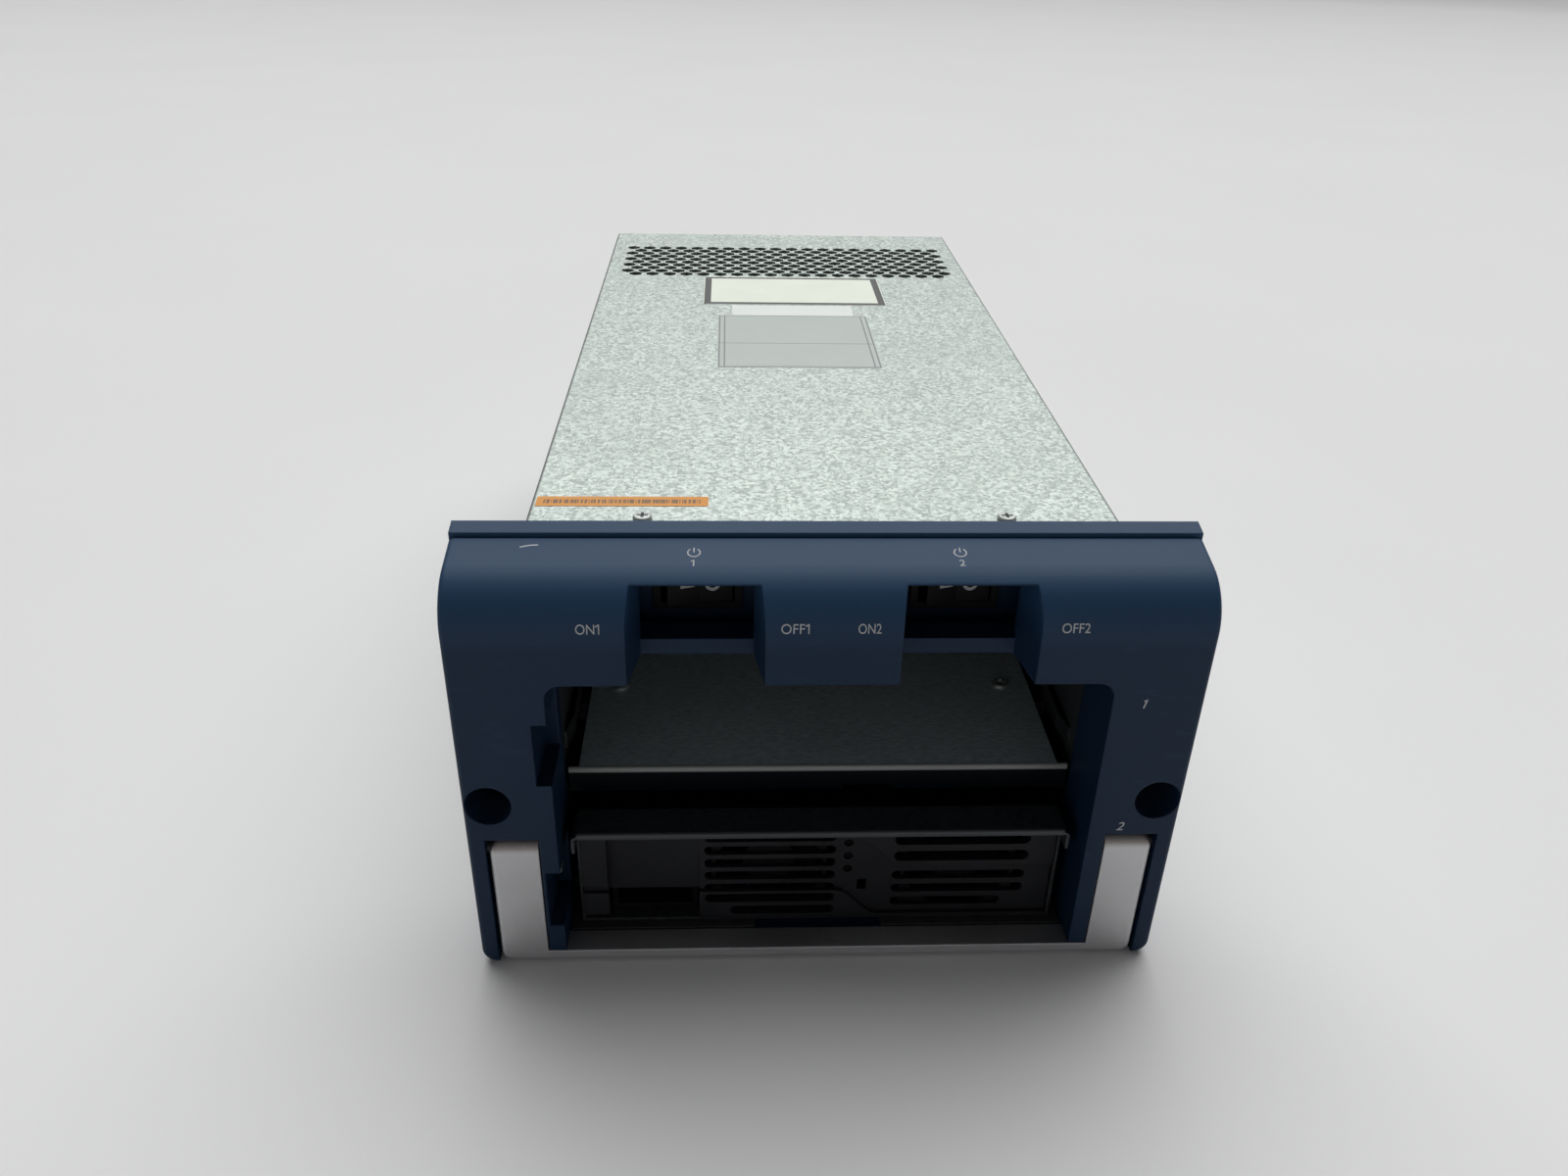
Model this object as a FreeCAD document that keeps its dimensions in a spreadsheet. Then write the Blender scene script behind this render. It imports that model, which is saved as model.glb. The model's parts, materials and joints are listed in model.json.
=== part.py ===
import FreeCAD, Part
import Sketcher
import math
import os
from types import SimpleNamespace

# Rack power supply: a galvanised case behind a moulded front with a swinging
# pull handle, two rocker switches and two module bays, the lower one filled.
# Frame: X to the right, Y to the rear, Z up, origin under the middle of the unit.

DIMENSIONS = {
    # whole unit
    "panel_width": "200",
    "panel_height": "132.5",
    "overall_depth": "367",
    # moulded front
    "bezel_depth": "28.3",
    "nose_radius": "15",
    "nose_slope": "12.7",
    "nose_back": "22.5",
    "groove_width": "0.8",
    "groove_depth": "1",
    "flange_step": "0.9",
    "bezel_side_round": "1.5",
    "bezel_foot_round": "4.5",
    "bezel_floor": "3.3",
    "opening_width": "150",
    "opening_top": "98.8",
    "opening_round": "4.5",
    "recess_spacing": "71",
    "recess_width": "35.7",
    "recess_back_width": "30.4",
    "recess_top": "125.2",
    "sill_setback": "15.4",
    "sill_height": "4.8",
    "sill_thickness": "2.5",
    "chamber_width": "118",
    "notch_depth": "4.1",
    "notch_height": "20.2",
    "notch_centre": "24.7",
    "notch_reach": "19",
    "bay_pitch": "51.6",
    "tunnel_spacing": "185.8",
    "tunnel_height": "59.4",
    "tunnel_radius": "6.4",
    "tunnel_depth": "20",
    "wing_wall": "3",
    "case_seat": "24.3",
    "case_slack": "0.3",
    # pull handle
    "handle_width": "188.6",
    "handle_leg": "13.9",
    "handle_top": "46",
    "handle_head_room": "1.2",
    "handle_lift": "0.4",
    "handle_bar": "4.1",
    "handle_thickness": "8",
    "handle_round": "1.6",
    "handle_corner": "3.5",
    "handle_gap": "0.4",
    "pin_radius": "2",
    "pin_gap": "0.06",
    "pin_end": "3",
    # captive screws
    "screw_radius": "2.5",
    "screw_neck_radius": "1.9",
    "screw_hole_gap": "0.3",
    "screw_head_radius": "5",
    "screw_head_height": "6",
    "screw_head_gap": "0.3",
    "screw_slot_width": "1.4",
    "screw_slot_depth": "1.6",
    "screw_reach": "13",
    "clip_radius": "4.4",
    "clip_thickness": "0.8",
    "clip_setback": "0.6",
    "clip_recess_depth": "2",
    "clip_recess_gap": "0.4",
    "thread_setback": "1",
    # sheet-metal case
    "case_width": "166.2",
    "case_top": "126.5",
    "sheet": "1.2",
    "cover_lip": "12",
    "tongue_front": "8.8",
    "tongue_inset": "0.4",
    "tongue_notch_width": "38.4",
    "tongue_notch_depth": "4.8",
    "front_flange": "5.4",
    "front_flange_inset": "6",
    "vent_columns": "20",
    "vent_row_pairs": "5",
    "vent_pitch": "7.7",
    "vent_row_step": "5.15",
    "vent_flats": "5.4",
    "vent_start": "292.2",
    # bays
    "bay_width": "150.6",
    "bay_top": "99.3",
    "cage_sheet": "1",
    "cage_foot": "5",
    "cage_setback": "0.4",
    "shelf_top": "53.5",
    "shelf_sheet": "1",
    "shelf_width": "142.4",
    "shelf_front": "24",
    "shelf_lip_width": "148.4",
    "shelf_lip_drop": "8.5",
    "shelf_side_drop": "6",
    "shelf_bend": "0.9",
    "shelf_notch_centre": "14",
    "shelf_notch_width": "14",
    "shelf_notch_depth": "1.5",
    "rail_front": "58",
    "rail_width": "16",
    "rail_drop": "6",
    "rail_spacing": "170",
    "spring_sheet": "0.5",
    "spring_height": "9",
    "spring_length": "34",
    "spring_bow": "1.5",
    "spring_front": "30",
    # backplane and output
    "backplane_face": "286",
    "board_thickness": "2.4",
    "window_width": "36",
    "window_height": "26",
    "window_inset": "8",
    "window_sill": "10",
    "plug_width": "48",
    "plug_height": "17.4",
    "plug_depth": "8",
    "blade_count": "4",
    "blade_pitch": "11",
    "blade_thickness": "1.4",
    "blade_height": "10",
    "blade_reach": "6.4",
    "blade_gap": "0.4",
    "busbar_spacing": "20",
    "busbar_thickness": "3",
    "busbar_height": "12",
    "output_width": "60",
    "output_height": "24",
    "output_depth": "22",
    "output_wall": "3",
    "output_cavity": "14",
    "output_flange": "5",
    "output_centre": "52",
    "rear_slot_width": "3.2",
    "rear_slot_height": "70",
    "rear_slot_pitch": "7",
    "rear_slot_count": "5",
    "rear_slot_start": "42",
    # switches
    "bracket_face": "30",
    "bracket_width": "124",
    "bracket_foot": "24",
    "bracket_head": "20",
    "switch_height": "113",
    "switch_frame_width": "24.4",
    "switch_frame_height": "15",
    "switch_frame_depth": "2",
    "switch_body_width": "22",
    "switch_body_height": "13",
    "switch_body_depth": "16",
    "switch_cavity_width": "20.2",
    "switch_cavity_depth": "8.6",
    "terminal_width": "6.3",
    "terminal_thickness": "0.8",
    "terminal_length": "8",
    "terminal_pitch": "7",
    "rocker_width": "18",
    "rocker_height": "10.2",
    "rocker_gap": "0.3",
    "rocker_rise": "4.2",
    "rocker_dip": "1.2",
    "rocker_skirt": "1",
    "rocker_keel": "4",
    "rocker_keel_width": "9",
    "rocker_pivot_depth": "2.5",
    "rocker_pin_radius": "1",
    "rocker_pin_length": "0.7",
    "rocker_tilt": "10",
    # switch board above the bays
    "switch_board_width": "110",
    "switch_board_start": "66",
    "switch_board_length": "90",
    "switch_board_thickness": "1.6",
    "standoff_height": "4",
    "standoff_radius": "2.5",
    "standoff_inset": "6",
    "relay_width": "20",
    "relay_length": "28",
    "relay_height": "14",
    "relay_spacing": "60",
    # power module
    "module_width": "145",
    "module_gap": "0.3",
    "module_height": "37",
    "module_front": "7",
    "module_rear": "277",
    "module_sheet": "1",
    "module_lip": "6",
    "module_bend": "1.6",
    "lid_hem": "13",
    "module_case_setback": "4.6",
    "grille_setback": "5.5",
    "grille_thickness": "1.6",
    "grille_left": "65",
    "grille_margin": "0.4",
    "grille_relief": "1.5",
    "slot_height": "3.2",
    "high_slot_height": "3.8",
    "left_slots_start": "-34.4",
    "left_slots_end": "4.8",
    "left_slot_count": "5",
    "foot_slots_short": "-26.8",
    "left_slot_low": "16.7",
    "left_slot_pitch": "4.9",
    "foot_slot_low": "9",
    "foot_slot_pitch": "4.9",
    "right_slots_start": "22",
    "right_slots_end": "62.4",
    "right_slots_short": "55.8",
    "right_slot_low": "10.6",
    "right_slot_pitch": "5.25",
    "right_slot_high": "29.9",
    "right_slot_high_pitch": "6.2",
    "lamp_column": "8.5",
    "lamp_low": "23.9",
    "lamp_pitch": "5",
    "lamp_radius": "1.4",
    "lamp_gap": "0.05",
    "lamp_recess": "0.6",
    "lamp_length": "8",
    "wave_top": "36",
    "wave_bottom": "26.2",
    "wave_start": "11.3",
    "wave_end": "22.4",
    "foot_top": "16.6",
    "foot_bottom": "6.9",
    "foot_start": "5",
    "foot_end": "18",
    "key_width": "2.8",
    "key_height": "4",
    "key_centre": "13",
    "key_level": "17.6",
    # mains inlet of the module
    "inlet_left": "62.4",
    "inlet_right": "36.6",
    "inlet_top": "17.8",
    "inlet_setback": "9",
    "inlet_depth": "34",
    "inlet_window_gap": "0.6",
    "inlet_window_top": "16.5",
    "scoop_top": "38.4",
    "scoop_depth": "0.8",
    "scoop_wall": "1.4",
    "socket_width": "22.6",
    "socket_height": "8.6",
    "socket_depth": "20",
    "contact_width": "2",
    "contact_height": "5",
    "contact_length": "13",
    "contact_spacing": "6.5",
    # module latch
    "latch_left": "70.2",
    "latch_width": "7.3",
    "latch_setback": "2.6",
    "latch_thickness": "2",
    "latch_bottom": "9.2",
    "latch_split": "19.2",
    "latch_split_width": "2.8",
    "latch_split_depth": "1.3",
    "latch_arm_outer": "70.1",
    "latch_arm_thickness": "1.5",
    "latch_arm_low": "14",
    "latch_arm_high": "32",
    "latch_pivot": "45",
    "latch_boss_radius": "2.6",
    "latch_pin_radius": "1.3",
    "latch_pin_gap": "0.08",
    "catch_front": "27",
    "catch_length": "7",
    "catch_height": "9",
    "catch_reach": "4.4",
    "catch_window_gap": "1.6",
    # fans
    "fan_size": "34.6",
    "fan_depth": "20",
    "fan_setback": "7.2",
    "fan_left": "-15",
    "fan_right": "42",
    "fan_bore": "16.2",
    "fan_post_radius": "8.4",
    "fan_post_depth": "3",
    "fan_strut": "2.4",
    "fan_shaft_radius": "1.5",
    "fan_shaft_gap": "0.08",
    "rotor_gap": "0.6",
    "rotor_hub": "8",
    "rotor_depth": "13",
    "rotor_blades": "7",
    "blade_root_chord": "8.5",
    "blade_tip_chord": "11",
    "blade_skin": "1",
    "blade_slant": "46",
    # module electronics
    "pcb_thickness": "1.6",
    "pcb_lift": "3.2",
    "pcb_margin": "2.5",
    "pcb_start": "54",
    "pcb_end": "10",
    "sink_centre": "54",
    "sink_width": "21",
    "sink_height": "27",
    "sink_base": "3",
    "sink_fins": "6",
    "sink_fin": "1.5",
    "sink_start": "100",
    "sink_length": "110",
    "core_width": "38",
    "core_length": "38",
    "core_height": "27",
    "core_wall": "6",
    "core_start": "130",
    "winding_clearance": "1",
    "capacitor_radius": "12",
    "capacitor_length": "46",
    "capacitor_spacing": "26",
    "capacitor_start": "62",
    "capacitor_centre": "-12",
    "choke_radius": "13",
    "choke_bore": "5.5",
    "choke_height": "11",
    "choke_centre": "40",
    "choke_start": "76",
    # small fasteners
    "small_head_radius": "2.7",
    "small_head_height": "1.4",
    "small_shank_radius": "1.5",
    "small_shank_length": "4",
    "cover_screw_spacing": "101.8",
    "cover_screw_setback": "41.2",
    "shelf_screw_spacing": "124",
    "bezel_screw_low": "22",
    "bezel_screw_high": "108",
    "bezel_screw_length": "10",
    "bezel_screw_head": "1.9",
    "module_screw_inset": "8",
    "module_screw_front": "40",
    "module_screw_rear": "14",
}

os.makedirs("parts", exist_ok=True)
doc = FreeCAD.newDocument("power_supply")
sheet = doc.addObject("Spreadsheet::Sheet", "sizes")
for row, (alias, value) in enumerate(DIMENSIONS.items(), start=1):
    sheet.set(f"A{row}", alias)
    sheet.set(f"B{row}", value)
    sheet.setAlias(f"B{row}", alias)
doc.recompute()


class Size:
    """A measure that carries its value and the sheet expression it comes from."""

    def __init__(self, text, value):
        self.text = text
        self.value = value

    def joined(self, sign, other, value):
        return Size(f"({self.text} {sign} {other.text})", value)

    def __add__(self, other):
        other = as_size(other)
        return self.joined("+", other, self.value + other.value)

    def __sub__(self, other):
        other = as_size(other)
        return self.joined("-", other, self.value - other.value)

    def __mul__(self, other):
        other = as_size(other)
        return self.joined("*", other, self.value * other.value)

    def __truediv__(self, other):
        other = as_size(other)
        return self.joined("/", other, self.value / other.value)

    def __radd__(self, other):
        return as_size(other) + self

    def __rsub__(self, other):
        return as_size(other) - self

    def __rmul__(self, other):
        return as_size(other) * self

    def __neg__(self):
        return Size(f"(-1 * {self.text})", -self.value)


def as_size(value):
    if isinstance(value, Size):
        return value
    return Size(f"({value})", float(value))


def of_angle(function, angle):
    """Sine, cosine or tangent of an angle in degrees."""
    value = getattr(math, function)(math.radians(angle.value))
    return Size(f"{function}({angle.text})", value)


def count_of(size):
    return int(round(size.value))


dim = SimpleNamespace(**{alias: Size(f"sizes.{alias}", float(sheet.get(alias))) for alias in DIMENSIONS})
front = -dim.overall_depth / 2
rear = dim.overall_depth / 2
nodes = []


def behind(distance):
    """Y of a place given by its distance behind the front face."""
    return front + distance


class Polygon:
    """A closed outline of straight edges, each corner held by the sheet."""

    def __init__(self, *corners):
        self.corners = [(as_size(u), as_size(v)) for u, v in corners]

    def draw(self, sketch):
        points = [FreeCAD.Vector(u.value, v.value, 0) for u, v in self.corners]
        following = points[1:] + points[:1]
        lines = [Part.LineSegment(start, end) for start, end in zip(points, following)]
        first = sketch.addGeometry(lines, False)[0]
        count = len(lines)
        joins = [
            Sketcher.Constraint("Coincident", first + index, 2, first + (index + 1) % count, 1)
            for index in range(count)
        ]
        sketch.addConstraint(joins)
        hold_points(sketch, [(first + index, 1, u, v) for index, (u, v) in enumerate(self.corners)])


class Circle:
    """A circle whose centre and radius are held by the sheet."""

    def __init__(self, u, v, radius):
        self.centre = (as_size(u), as_size(v))
        self.radius = as_size(radius)

    def draw(self, sketch):
        u, v = self.centre
        centre = FreeCAD.Vector(u.value, v.value, 0)
        circle = sketch.addGeometry(Part.Circle(centre, FreeCAD.Vector(0, 0, 1), self.radius.value), False)
        hold_points(sketch, [(circle, 3, u, v)])
        radius = sketch.addConstraint(Sketcher.Constraint("Radius", circle, self.radius.value))
        sketch.setExpression(f"Constraints[{radius}]", self.radius.text)


class Slot:
    """A level slot with round ends, held by the sheet."""

    def __init__(self, left, right, level, height):
        self.radius = as_size(height) / 2
        self.level = as_size(level)
        self.left = as_size(left) + self.radius
        self.right = as_size(right) - self.radius

    def draw(self, sketch):
        radius = self.radius.value
        low, high = self.level.value - radius, self.level.value + radius
        lines = [
            Part.LineSegment(FreeCAD.Vector(start.value, level, 0), FreeCAD.Vector(end.value, level, 0))
            for start, end, level in ((self.right, self.left, high), (self.left, self.right, low))
        ]
        ends = []
        for middle, turn in ((self.left, math.pi / 2), (self.right, -math.pi / 2)):
            centre = FreeCAD.Vector(middle.value, self.level.value, 0)
            circle = Part.Circle(centre, FreeCAD.Vector(0, 0, 1), radius)
            ends.append(Part.ArcOfCircle(circle, turn, turn + math.pi))
        top, bottom = sketch.addGeometry(lines, False)
        left_end, right_end = sketch.addGeometry(ends, False)
        round_trip = [top, left_end, bottom, right_end]
        following = round_trip[1:] + round_trip[:1]
        sketch.addConstraint([
            Sketcher.Constraint("Tangent", first, 2, second, 1)
            for first, second in zip(round_trip, following)
        ])
        hold_points(sketch, [(left_end, 3, self.left, self.level), (right_end, 3, self.right, self.level)])
        for end in (left_end, right_end):
            place = sketch.addConstraint(Sketcher.Constraint("Radius", end, radius))
            sketch.setExpression(f"Constraints[{place}]", self.radius.text)


def hold_points(sketch, points):
    """Tie sketch points to the sheet by their two distances from the origin."""
    distances = []
    sizes = []
    for geometry, point, u, v in points:
        distances.append(Sketcher.Constraint("DistanceX", -1, 1, geometry, point, u.value))
        distances.append(Sketcher.Constraint("DistanceY", -1, 1, geometry, point, v.value))
        sizes += [u, v]
    places = sketch.addConstraint(distances)
    for place, size in zip(places, sizes):
        sketch.setExpression(f"Constraints[{place}]", size.text)


def rectangle(left, right, low, high):
    return Polygon((left, low), (right, low), (right, high), (left, high))


def between(first, second):
    """Two levels in rising order."""
    return sorted((as_size(first), as_size(second)), key=lambda size: size.value)


class Piece:
    """One sub-part, a body of pads, pockets and rounded edges."""

    def __init__(self, name, finished=True):
        self.name = name
        self.body = doc.addObject("PartDesign::Body", name)
        self.body.Label = name
        self.planes = {plane.Role: plane for plane in self.body.Origin.OriginFeatures}
        self.features = 0
        if finished:
            nodes.append(self.body)

    def add(self, kind):
        self.features += 1
        return self.body.newObject(kind, f"{self.name}_{self.features}")

    def settle(self, *features):
        """Work out the newest features, and the body that they shape."""
        doc.recompute([*features, self.body])

    def sketch(self, plane, level, loops):
        sketch = self.add("Sketcher::SketchObject")
        sketch.AttachmentSupport = [(self.planes[f"{plane}_Plane"], "")]
        sketch.MapMode = "FlatFace"
        sketch.setExpression(".AttachmentOffset.Base.z", as_size(level).text)
        for loop in loops:
            loop.draw(sketch)
        return sketch

    def pad(self, plane, low, high, *loops):
        """Add material between two levels along the plane's axis."""
        low, high = as_size(low), as_size(high)
        level = -high if plane == "XZ" else low
        sketch = self.sketch(plane, level, loops)
        pad = self.add("PartDesign::Pad")
        pad.Profile = sketch
        pad.setExpression("Length", (high - low).text)
        self.settle(sketch, pad)
        return pad

    def pocket(self, plane, low, high, *loops):
        """Remove material between two levels along the plane's axis."""
        low, high = as_size(low), as_size(high)
        level = -low if plane == "XZ" else high
        before = self.body.Shape.Volume
        sketch = self.sketch(plane, level, loops)
        pocket = self.add("PartDesign::Pocket")
        pocket.Profile = sketch
        pocket.setExpression("Length", (high - low).text)
        self.settle(sketch, pocket)
        if self.body.Shape.Volume >= before:
            raise RuntimeError(f"{self.name}: {pocket.Name} removes nothing")
        return pocket

    def round(self, radius, *choices):
        """Round the straight edges that lie on the chosen lines."""
        solid = self.body.Tip
        names = [
            f"Edge{index}"
            for index, edge in enumerate(solid.Shape.Edges, start=1)
            if any(choice(edge) for choice in choices)
        ]
        if not names:
            raise RuntimeError(f"{self.name}: no edge to round")
        fillet = self.add("PartDesign::Fillet")
        fillet.Base = (solid, names)
        fillet.setExpression("Radius", as_size(radius).text)
        self.settle(fillet)
        return fillet

    def ring(self, feature, axis_role, count):
        """Repeat a feature evenly round one of the body's own axes."""
        polar = self.add("PartDesign::PolarPattern")
        polar.Originals = [feature]
        polar.Axis = (self.planes[axis_role], [""])
        polar.Angle = 360
        polar.setExpression("Occurrences", as_size(count).text)
        self.body.Tip = polar
        self.settle(polar)

    def place(self, x, y, z, turn=None):
        """Set the piece down at a point, turned about Z if a turn is given."""
        set_place(self.body, x, y, z)
        if turn is not None:
            self.body.setExpression(".Placement.Rotation.Angle", as_size(turn).text)


def set_place(item, x, y, z):
    for axis, value in zip("xyz", (x, y, z)):
        item.setExpression(f".Placement.Base.{axis}", as_size(value).text)


def line_along(axis, tolerance=0.02, **places):
    """Choose straight edges along an axis at the given other coordinates."""
    def chosen(edge):
        if len(edge.Vertexes) != 2 or not isinstance(edge.Curve, Part.Line):
            return False
        start, end = (vertex.Point for vertex in edge.Vertexes)
        direction = (end - start).normalize()
        if abs(abs(getattr(direction, axis)) - 1) > tolerance:
            return False
        return all(
            abs(getattr(point, name) - as_size(place).value) < tolerance
            for name, place in places.items()
            for point in (start, end)
        )
    return chosen


def block(name, x_span, y_span, z_span):
    """A plain box between three pairs of levels."""
    box = doc.addObject("Part::Box", name)
    spans = [(as_size(low), as_size(high)) for low, high in (x_span, y_span, z_span)]
    for side, (low, high) in zip(("Length", "Width", "Height"), spans):
        box.setExpression(side, (high - low).text)
    set_place(box, *(low for low, high in spans))
    return box


TURNS = {
    "X": FreeCAD.Rotation(FreeCAD.Vector(0, 1, 0), 90),
    "Y": FreeCAD.Rotation(FreeCAD.Vector(1, 0, 0), -90),
    "Z": FreeCAD.Rotation(),
}
HEXAGON_SIDES = 6
VENT_TURN = FreeCAD.Rotation(FreeCAD.Vector(0, 0, 1), 180 / HEXAGON_SIDES)


def rod(name, axis, radius, span, across):
    """A cylinder along an axis between two levels, at two coordinates across it."""
    low, high = (as_size(level) for level in span)
    cylinder = doc.addObject("Part::Cylinder", name)
    cylinder.setExpression("Radius", as_size(radius).text)
    cylinder.setExpression("Height", (high - low).text)
    cylinder.Placement = FreeCAD.Placement(FreeCAD.Vector(), TURNS[axis])
    first, second = across
    place = {"X": (low, first, second), "Y": (first, low, second), "Z": (first, second, low)}[axis]
    set_place(cylinder, *place)
    return cylinder


def cut(name, base, *tools):
    tool = tools[0]
    if len(tools) > 1:
        tool = doc.addObject("Part::MultiFuse", f"{name}_tools")
        tool.Shapes = list(tools)
    result = doc.addObject("Part::Cut", name)
    result.Base = base
    result.Tool = tool
    return result


def fuse(name, *shapes):
    result = doc.addObject("Part::MultiFuse", name)
    result.Shapes = list(shapes)
    return result


def node(item, name):
    """Enter a finished object as the sub-part of that name."""
    item.Label = name
    nodes.append(item)
    return item


def group(name, *solids):
    """Enter separate like solids as one sub-part."""
    result = doc.addObject("Part::Compound", name)
    result.Links = list(solids)
    return node(result, name)


SIDES = {"left": -1, "right": 1}
panel_half = dim.panel_width / 2
opening_half = dim.opening_width / 2
case_half = dim.case_width / 2
base_half = case_half - dim.sheet
floor_top = dim.bezel_floor + dim.sheet
cover_under = dim.case_top - dim.sheet
bezel_back = behind(dim.bezel_depth)
seat_face = behind(dim.case_seat)
leg_outer = dim.handle_width / 2
leg_inner = leg_outer - dim.handle_leg
pocket_outer = leg_outer + 2 * dim.handle_gap
pocket_inner = leg_inner - dim.handle_gap
pocket_back = dim.handle_thickness + dim.handle_gap
pivot_height = dim.handle_top - dim.handle_thickness / 2
pivot_depth = dim.handle_thickness / 2
bar_top = dim.handle_lift + dim.handle_bar
pin_inner = opening_half + dim.pin_end / 2
pin_outer = panel_half - dim.pin_end / 2
sill_top = dim.opening_top + dim.sill_height
recess_middle = dim.recess_spacing / 2
tunnel_half = dim.tunnel_spacing / 2
clip_seat = bezel_back - dim.clip_recess_depth
bay_half = dim.bay_width / 2
cage_half = bay_half + dim.cage_sheet
flange_half = (cage_half + base_half - dim.sheet) / 2


# Moulded front: one thick profile, opened for the bays, switches and handle.
bezel = Piece("front_bezel")
nose_rise = of_angle("tan", dim.nose_slope)
groove_back = dim.nose_back + dim.groove_width
nose_corner = dim.panel_height - dim.bezel_depth * nose_rise - dim.flange_step
nose_end = nose_corner + dim.nose_back * nose_rise
flange_front = dim.panel_height - (dim.bezel_depth - groove_back) * nose_rise
bezel.pad(
    "YZ", -panel_half, panel_half,
    Polygon(
        (front, 0),
        (front, nose_corner),
        (bezel_back, dim.panel_height - dim.flange_step),
        (bezel_back, 0),
    ),
)
bezel.round(dim.nose_radius, line_along("x", y=front, z=nose_corner))
bezel.round(
    dim.bezel_foot_round,
    line_along("y", x=-panel_half, z=0),
    line_along("y", x=panel_half, z=0),
)
bezel.round(
    dim.bezel_side_round,
    line_along("z", x=-panel_half, y=front),
    line_along("z", x=panel_half, y=front),
)
bezel.pad(
    "YZ", -panel_half, panel_half,
    Polygon(
        (behind(groove_back), nose_end - dim.wing_wall),
        (behind(groove_back), flange_front),
        (bezel_back, dim.panel_height),
        (bezel_back, nose_end - dim.wing_wall),
    ),
)
bezel.pocket(
    "YZ", -panel_half, panel_half,
    rectangle(behind(dim.nose_back), behind(groove_back), nose_end - dim.groove_depth, flange_front),
)
bezel.pocket(
    "XZ", front, bezel_back,
    rectangle(-opening_half, opening_half, dim.bezel_floor, dim.opening_top),
)
bezel.round(
    dim.opening_round,
    line_along("y", x=-opening_half, z=dim.opening_top),
    line_along("y", x=opening_half, z=dim.opening_top),
)
bezel.pocket(
    "XZ", front, behind(pocket_back),
    rectangle(-pocket_outer, pocket_outer, 0, bar_top + dim.handle_gap),
)
for sign in SIDES.values():
    legs = between(sign * pocket_inner, sign * pocket_outer)
    bezel.pocket(
        "XZ", front, behind(pocket_back),
        rectangle(*legs, 0, dim.handle_top + dim.handle_head_room),
    )
    recess = sign * recess_middle
    bezel.pocket(
        "XY", dim.opening_top - dim.opening_round, dim.recess_top,
        Polygon(
            (recess - dim.recess_width / 2, front),
            (recess + dim.recess_width / 2, front),
            (recess + dim.recess_back_width / 2, behind(dim.sill_setback)),
            (recess - dim.recess_back_width / 2, behind(dim.sill_setback)),
        ),
    )
    bezel.pocket(
        "XZ", behind(dim.sill_setback), behind(dim.sill_setback + dim.sill_thickness),
        rectangle(
            recess - dim.recess_back_width / 2, recess + dim.recess_back_width / 2,
            sill_top, dim.recess_top,
        ),
    )
    tunnel = sign * tunnel_half
    bezel.pocket(
        "XZ", front, behind(dim.tunnel_depth),
        Circle(tunnel, dim.tunnel_height, dim.tunnel_radius),
    )
    bezel.pocket(
        "XZ", behind(dim.tunnel_depth), bezel_back,
        Circle(tunnel, dim.tunnel_height, dim.screw_radius + dim.screw_hole_gap),
    )
    bezel.pocket(
        "XZ", clip_seat, bezel_back,
        Circle(tunnel, dim.tunnel_height, dim.clip_radius + dim.clip_recess_gap),
    )
    bezel.pocket(
        "YZ", *between(sign * pin_inner, sign * pin_outer),
        Circle(behind(pivot_depth), pivot_height, dim.pin_radius + dim.pin_gap),
    )
bezel.pocket(
    "XZ", behind(dim.sill_setback + dim.sill_thickness), seat_face,
    rectangle(-dim.chamber_width / 2, dim.chamber_width / 2, sill_top, dim.recess_top),
)
bezel.pocket(
    "XZ", seat_face, bezel_back,
    rectangle(
        -case_half - dim.case_slack, case_half + dim.case_slack,
        dim.bezel_floor, dim.case_top + dim.case_slack,
    ),
)
for level in (dim.notch_centre, dim.notch_centre + dim.bay_pitch):
    bezel.pocket(
        "XZ", front, behind(dim.notch_reach),
        rectangle(
            -opening_half - dim.notch_depth, -opening_half,
            level - dim.notch_height / 2, level + dim.notch_height / 2,
        ),
    )
for sign in SIDES.values():
    wing_inner = case_half + dim.wing_wall
    wing_outer = panel_half - dim.wing_wall
    wing = between(sign * wing_inner, sign * wing_outer)
    boss = dim.tunnel_radius + dim.wing_wall
    bezel.pocket(
        "XZ", behind(pocket_back + dim.wing_wall), bezel_back,
        rectangle(*wing, dim.bezel_foot_round, dim.handle_top - dim.wing_wall),
    )
    bezel.pocket(
        "XZ", behind(dim.wing_wall), bezel_back,
        rectangle(*wing, dim.tunnel_height + boss, nose_corner - dim.nose_radius),
    )
    bezel.pocket(
        "XZ", seat_face - dim.bezel_screw_length, seat_face,
        Circle(sign * flange_half, dim.bezel_screw_low, dim.small_shank_radius),
        Circle(sign * flange_half, dim.bezel_screw_high, dim.small_shank_radius),
    )

# Pull handle: a flat satin strap bent to a U, hung on two pins at the top of its legs.
handle = Piece("pull_handle")
handle.pad(
    "XZ", front, behind(dim.handle_thickness),
    Polygon(
        (-leg_outer, dim.handle_lift),
        (leg_outer, dim.handle_lift),
        (leg_outer, dim.handle_top),
        (leg_inner, dim.handle_top),
        (leg_inner, bar_top),
        (-leg_inner, bar_top),
        (-leg_inner, dim.handle_top),
        (-leg_outer, dim.handle_top),
    ),
)
handle_back = behind(dim.handle_thickness)
handle.round(
    dim.handle_corner,
    line_along("y", x=-leg_outer, z=dim.handle_lift),
    line_along("y", x=leg_outer, z=dim.handle_lift),
)
handle.round(dim.handle_round, line_along("x", y=front, z=dim.handle_lift))
handle.round(
    dim.handle_thickness / 2 - dim.pin_gap,
    line_along("x", y=front, z=dim.handle_top),
    line_along("x", y=handle_back, z=dim.handle_top),
)
for sign in SIDES.values():
    handle.pocket(
        "YZ", *between(sign * leg_inner, sign * leg_outer),
        Circle(behind(pivot_depth), pivot_height, dim.pin_radius + dim.pin_gap),
    )

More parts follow.
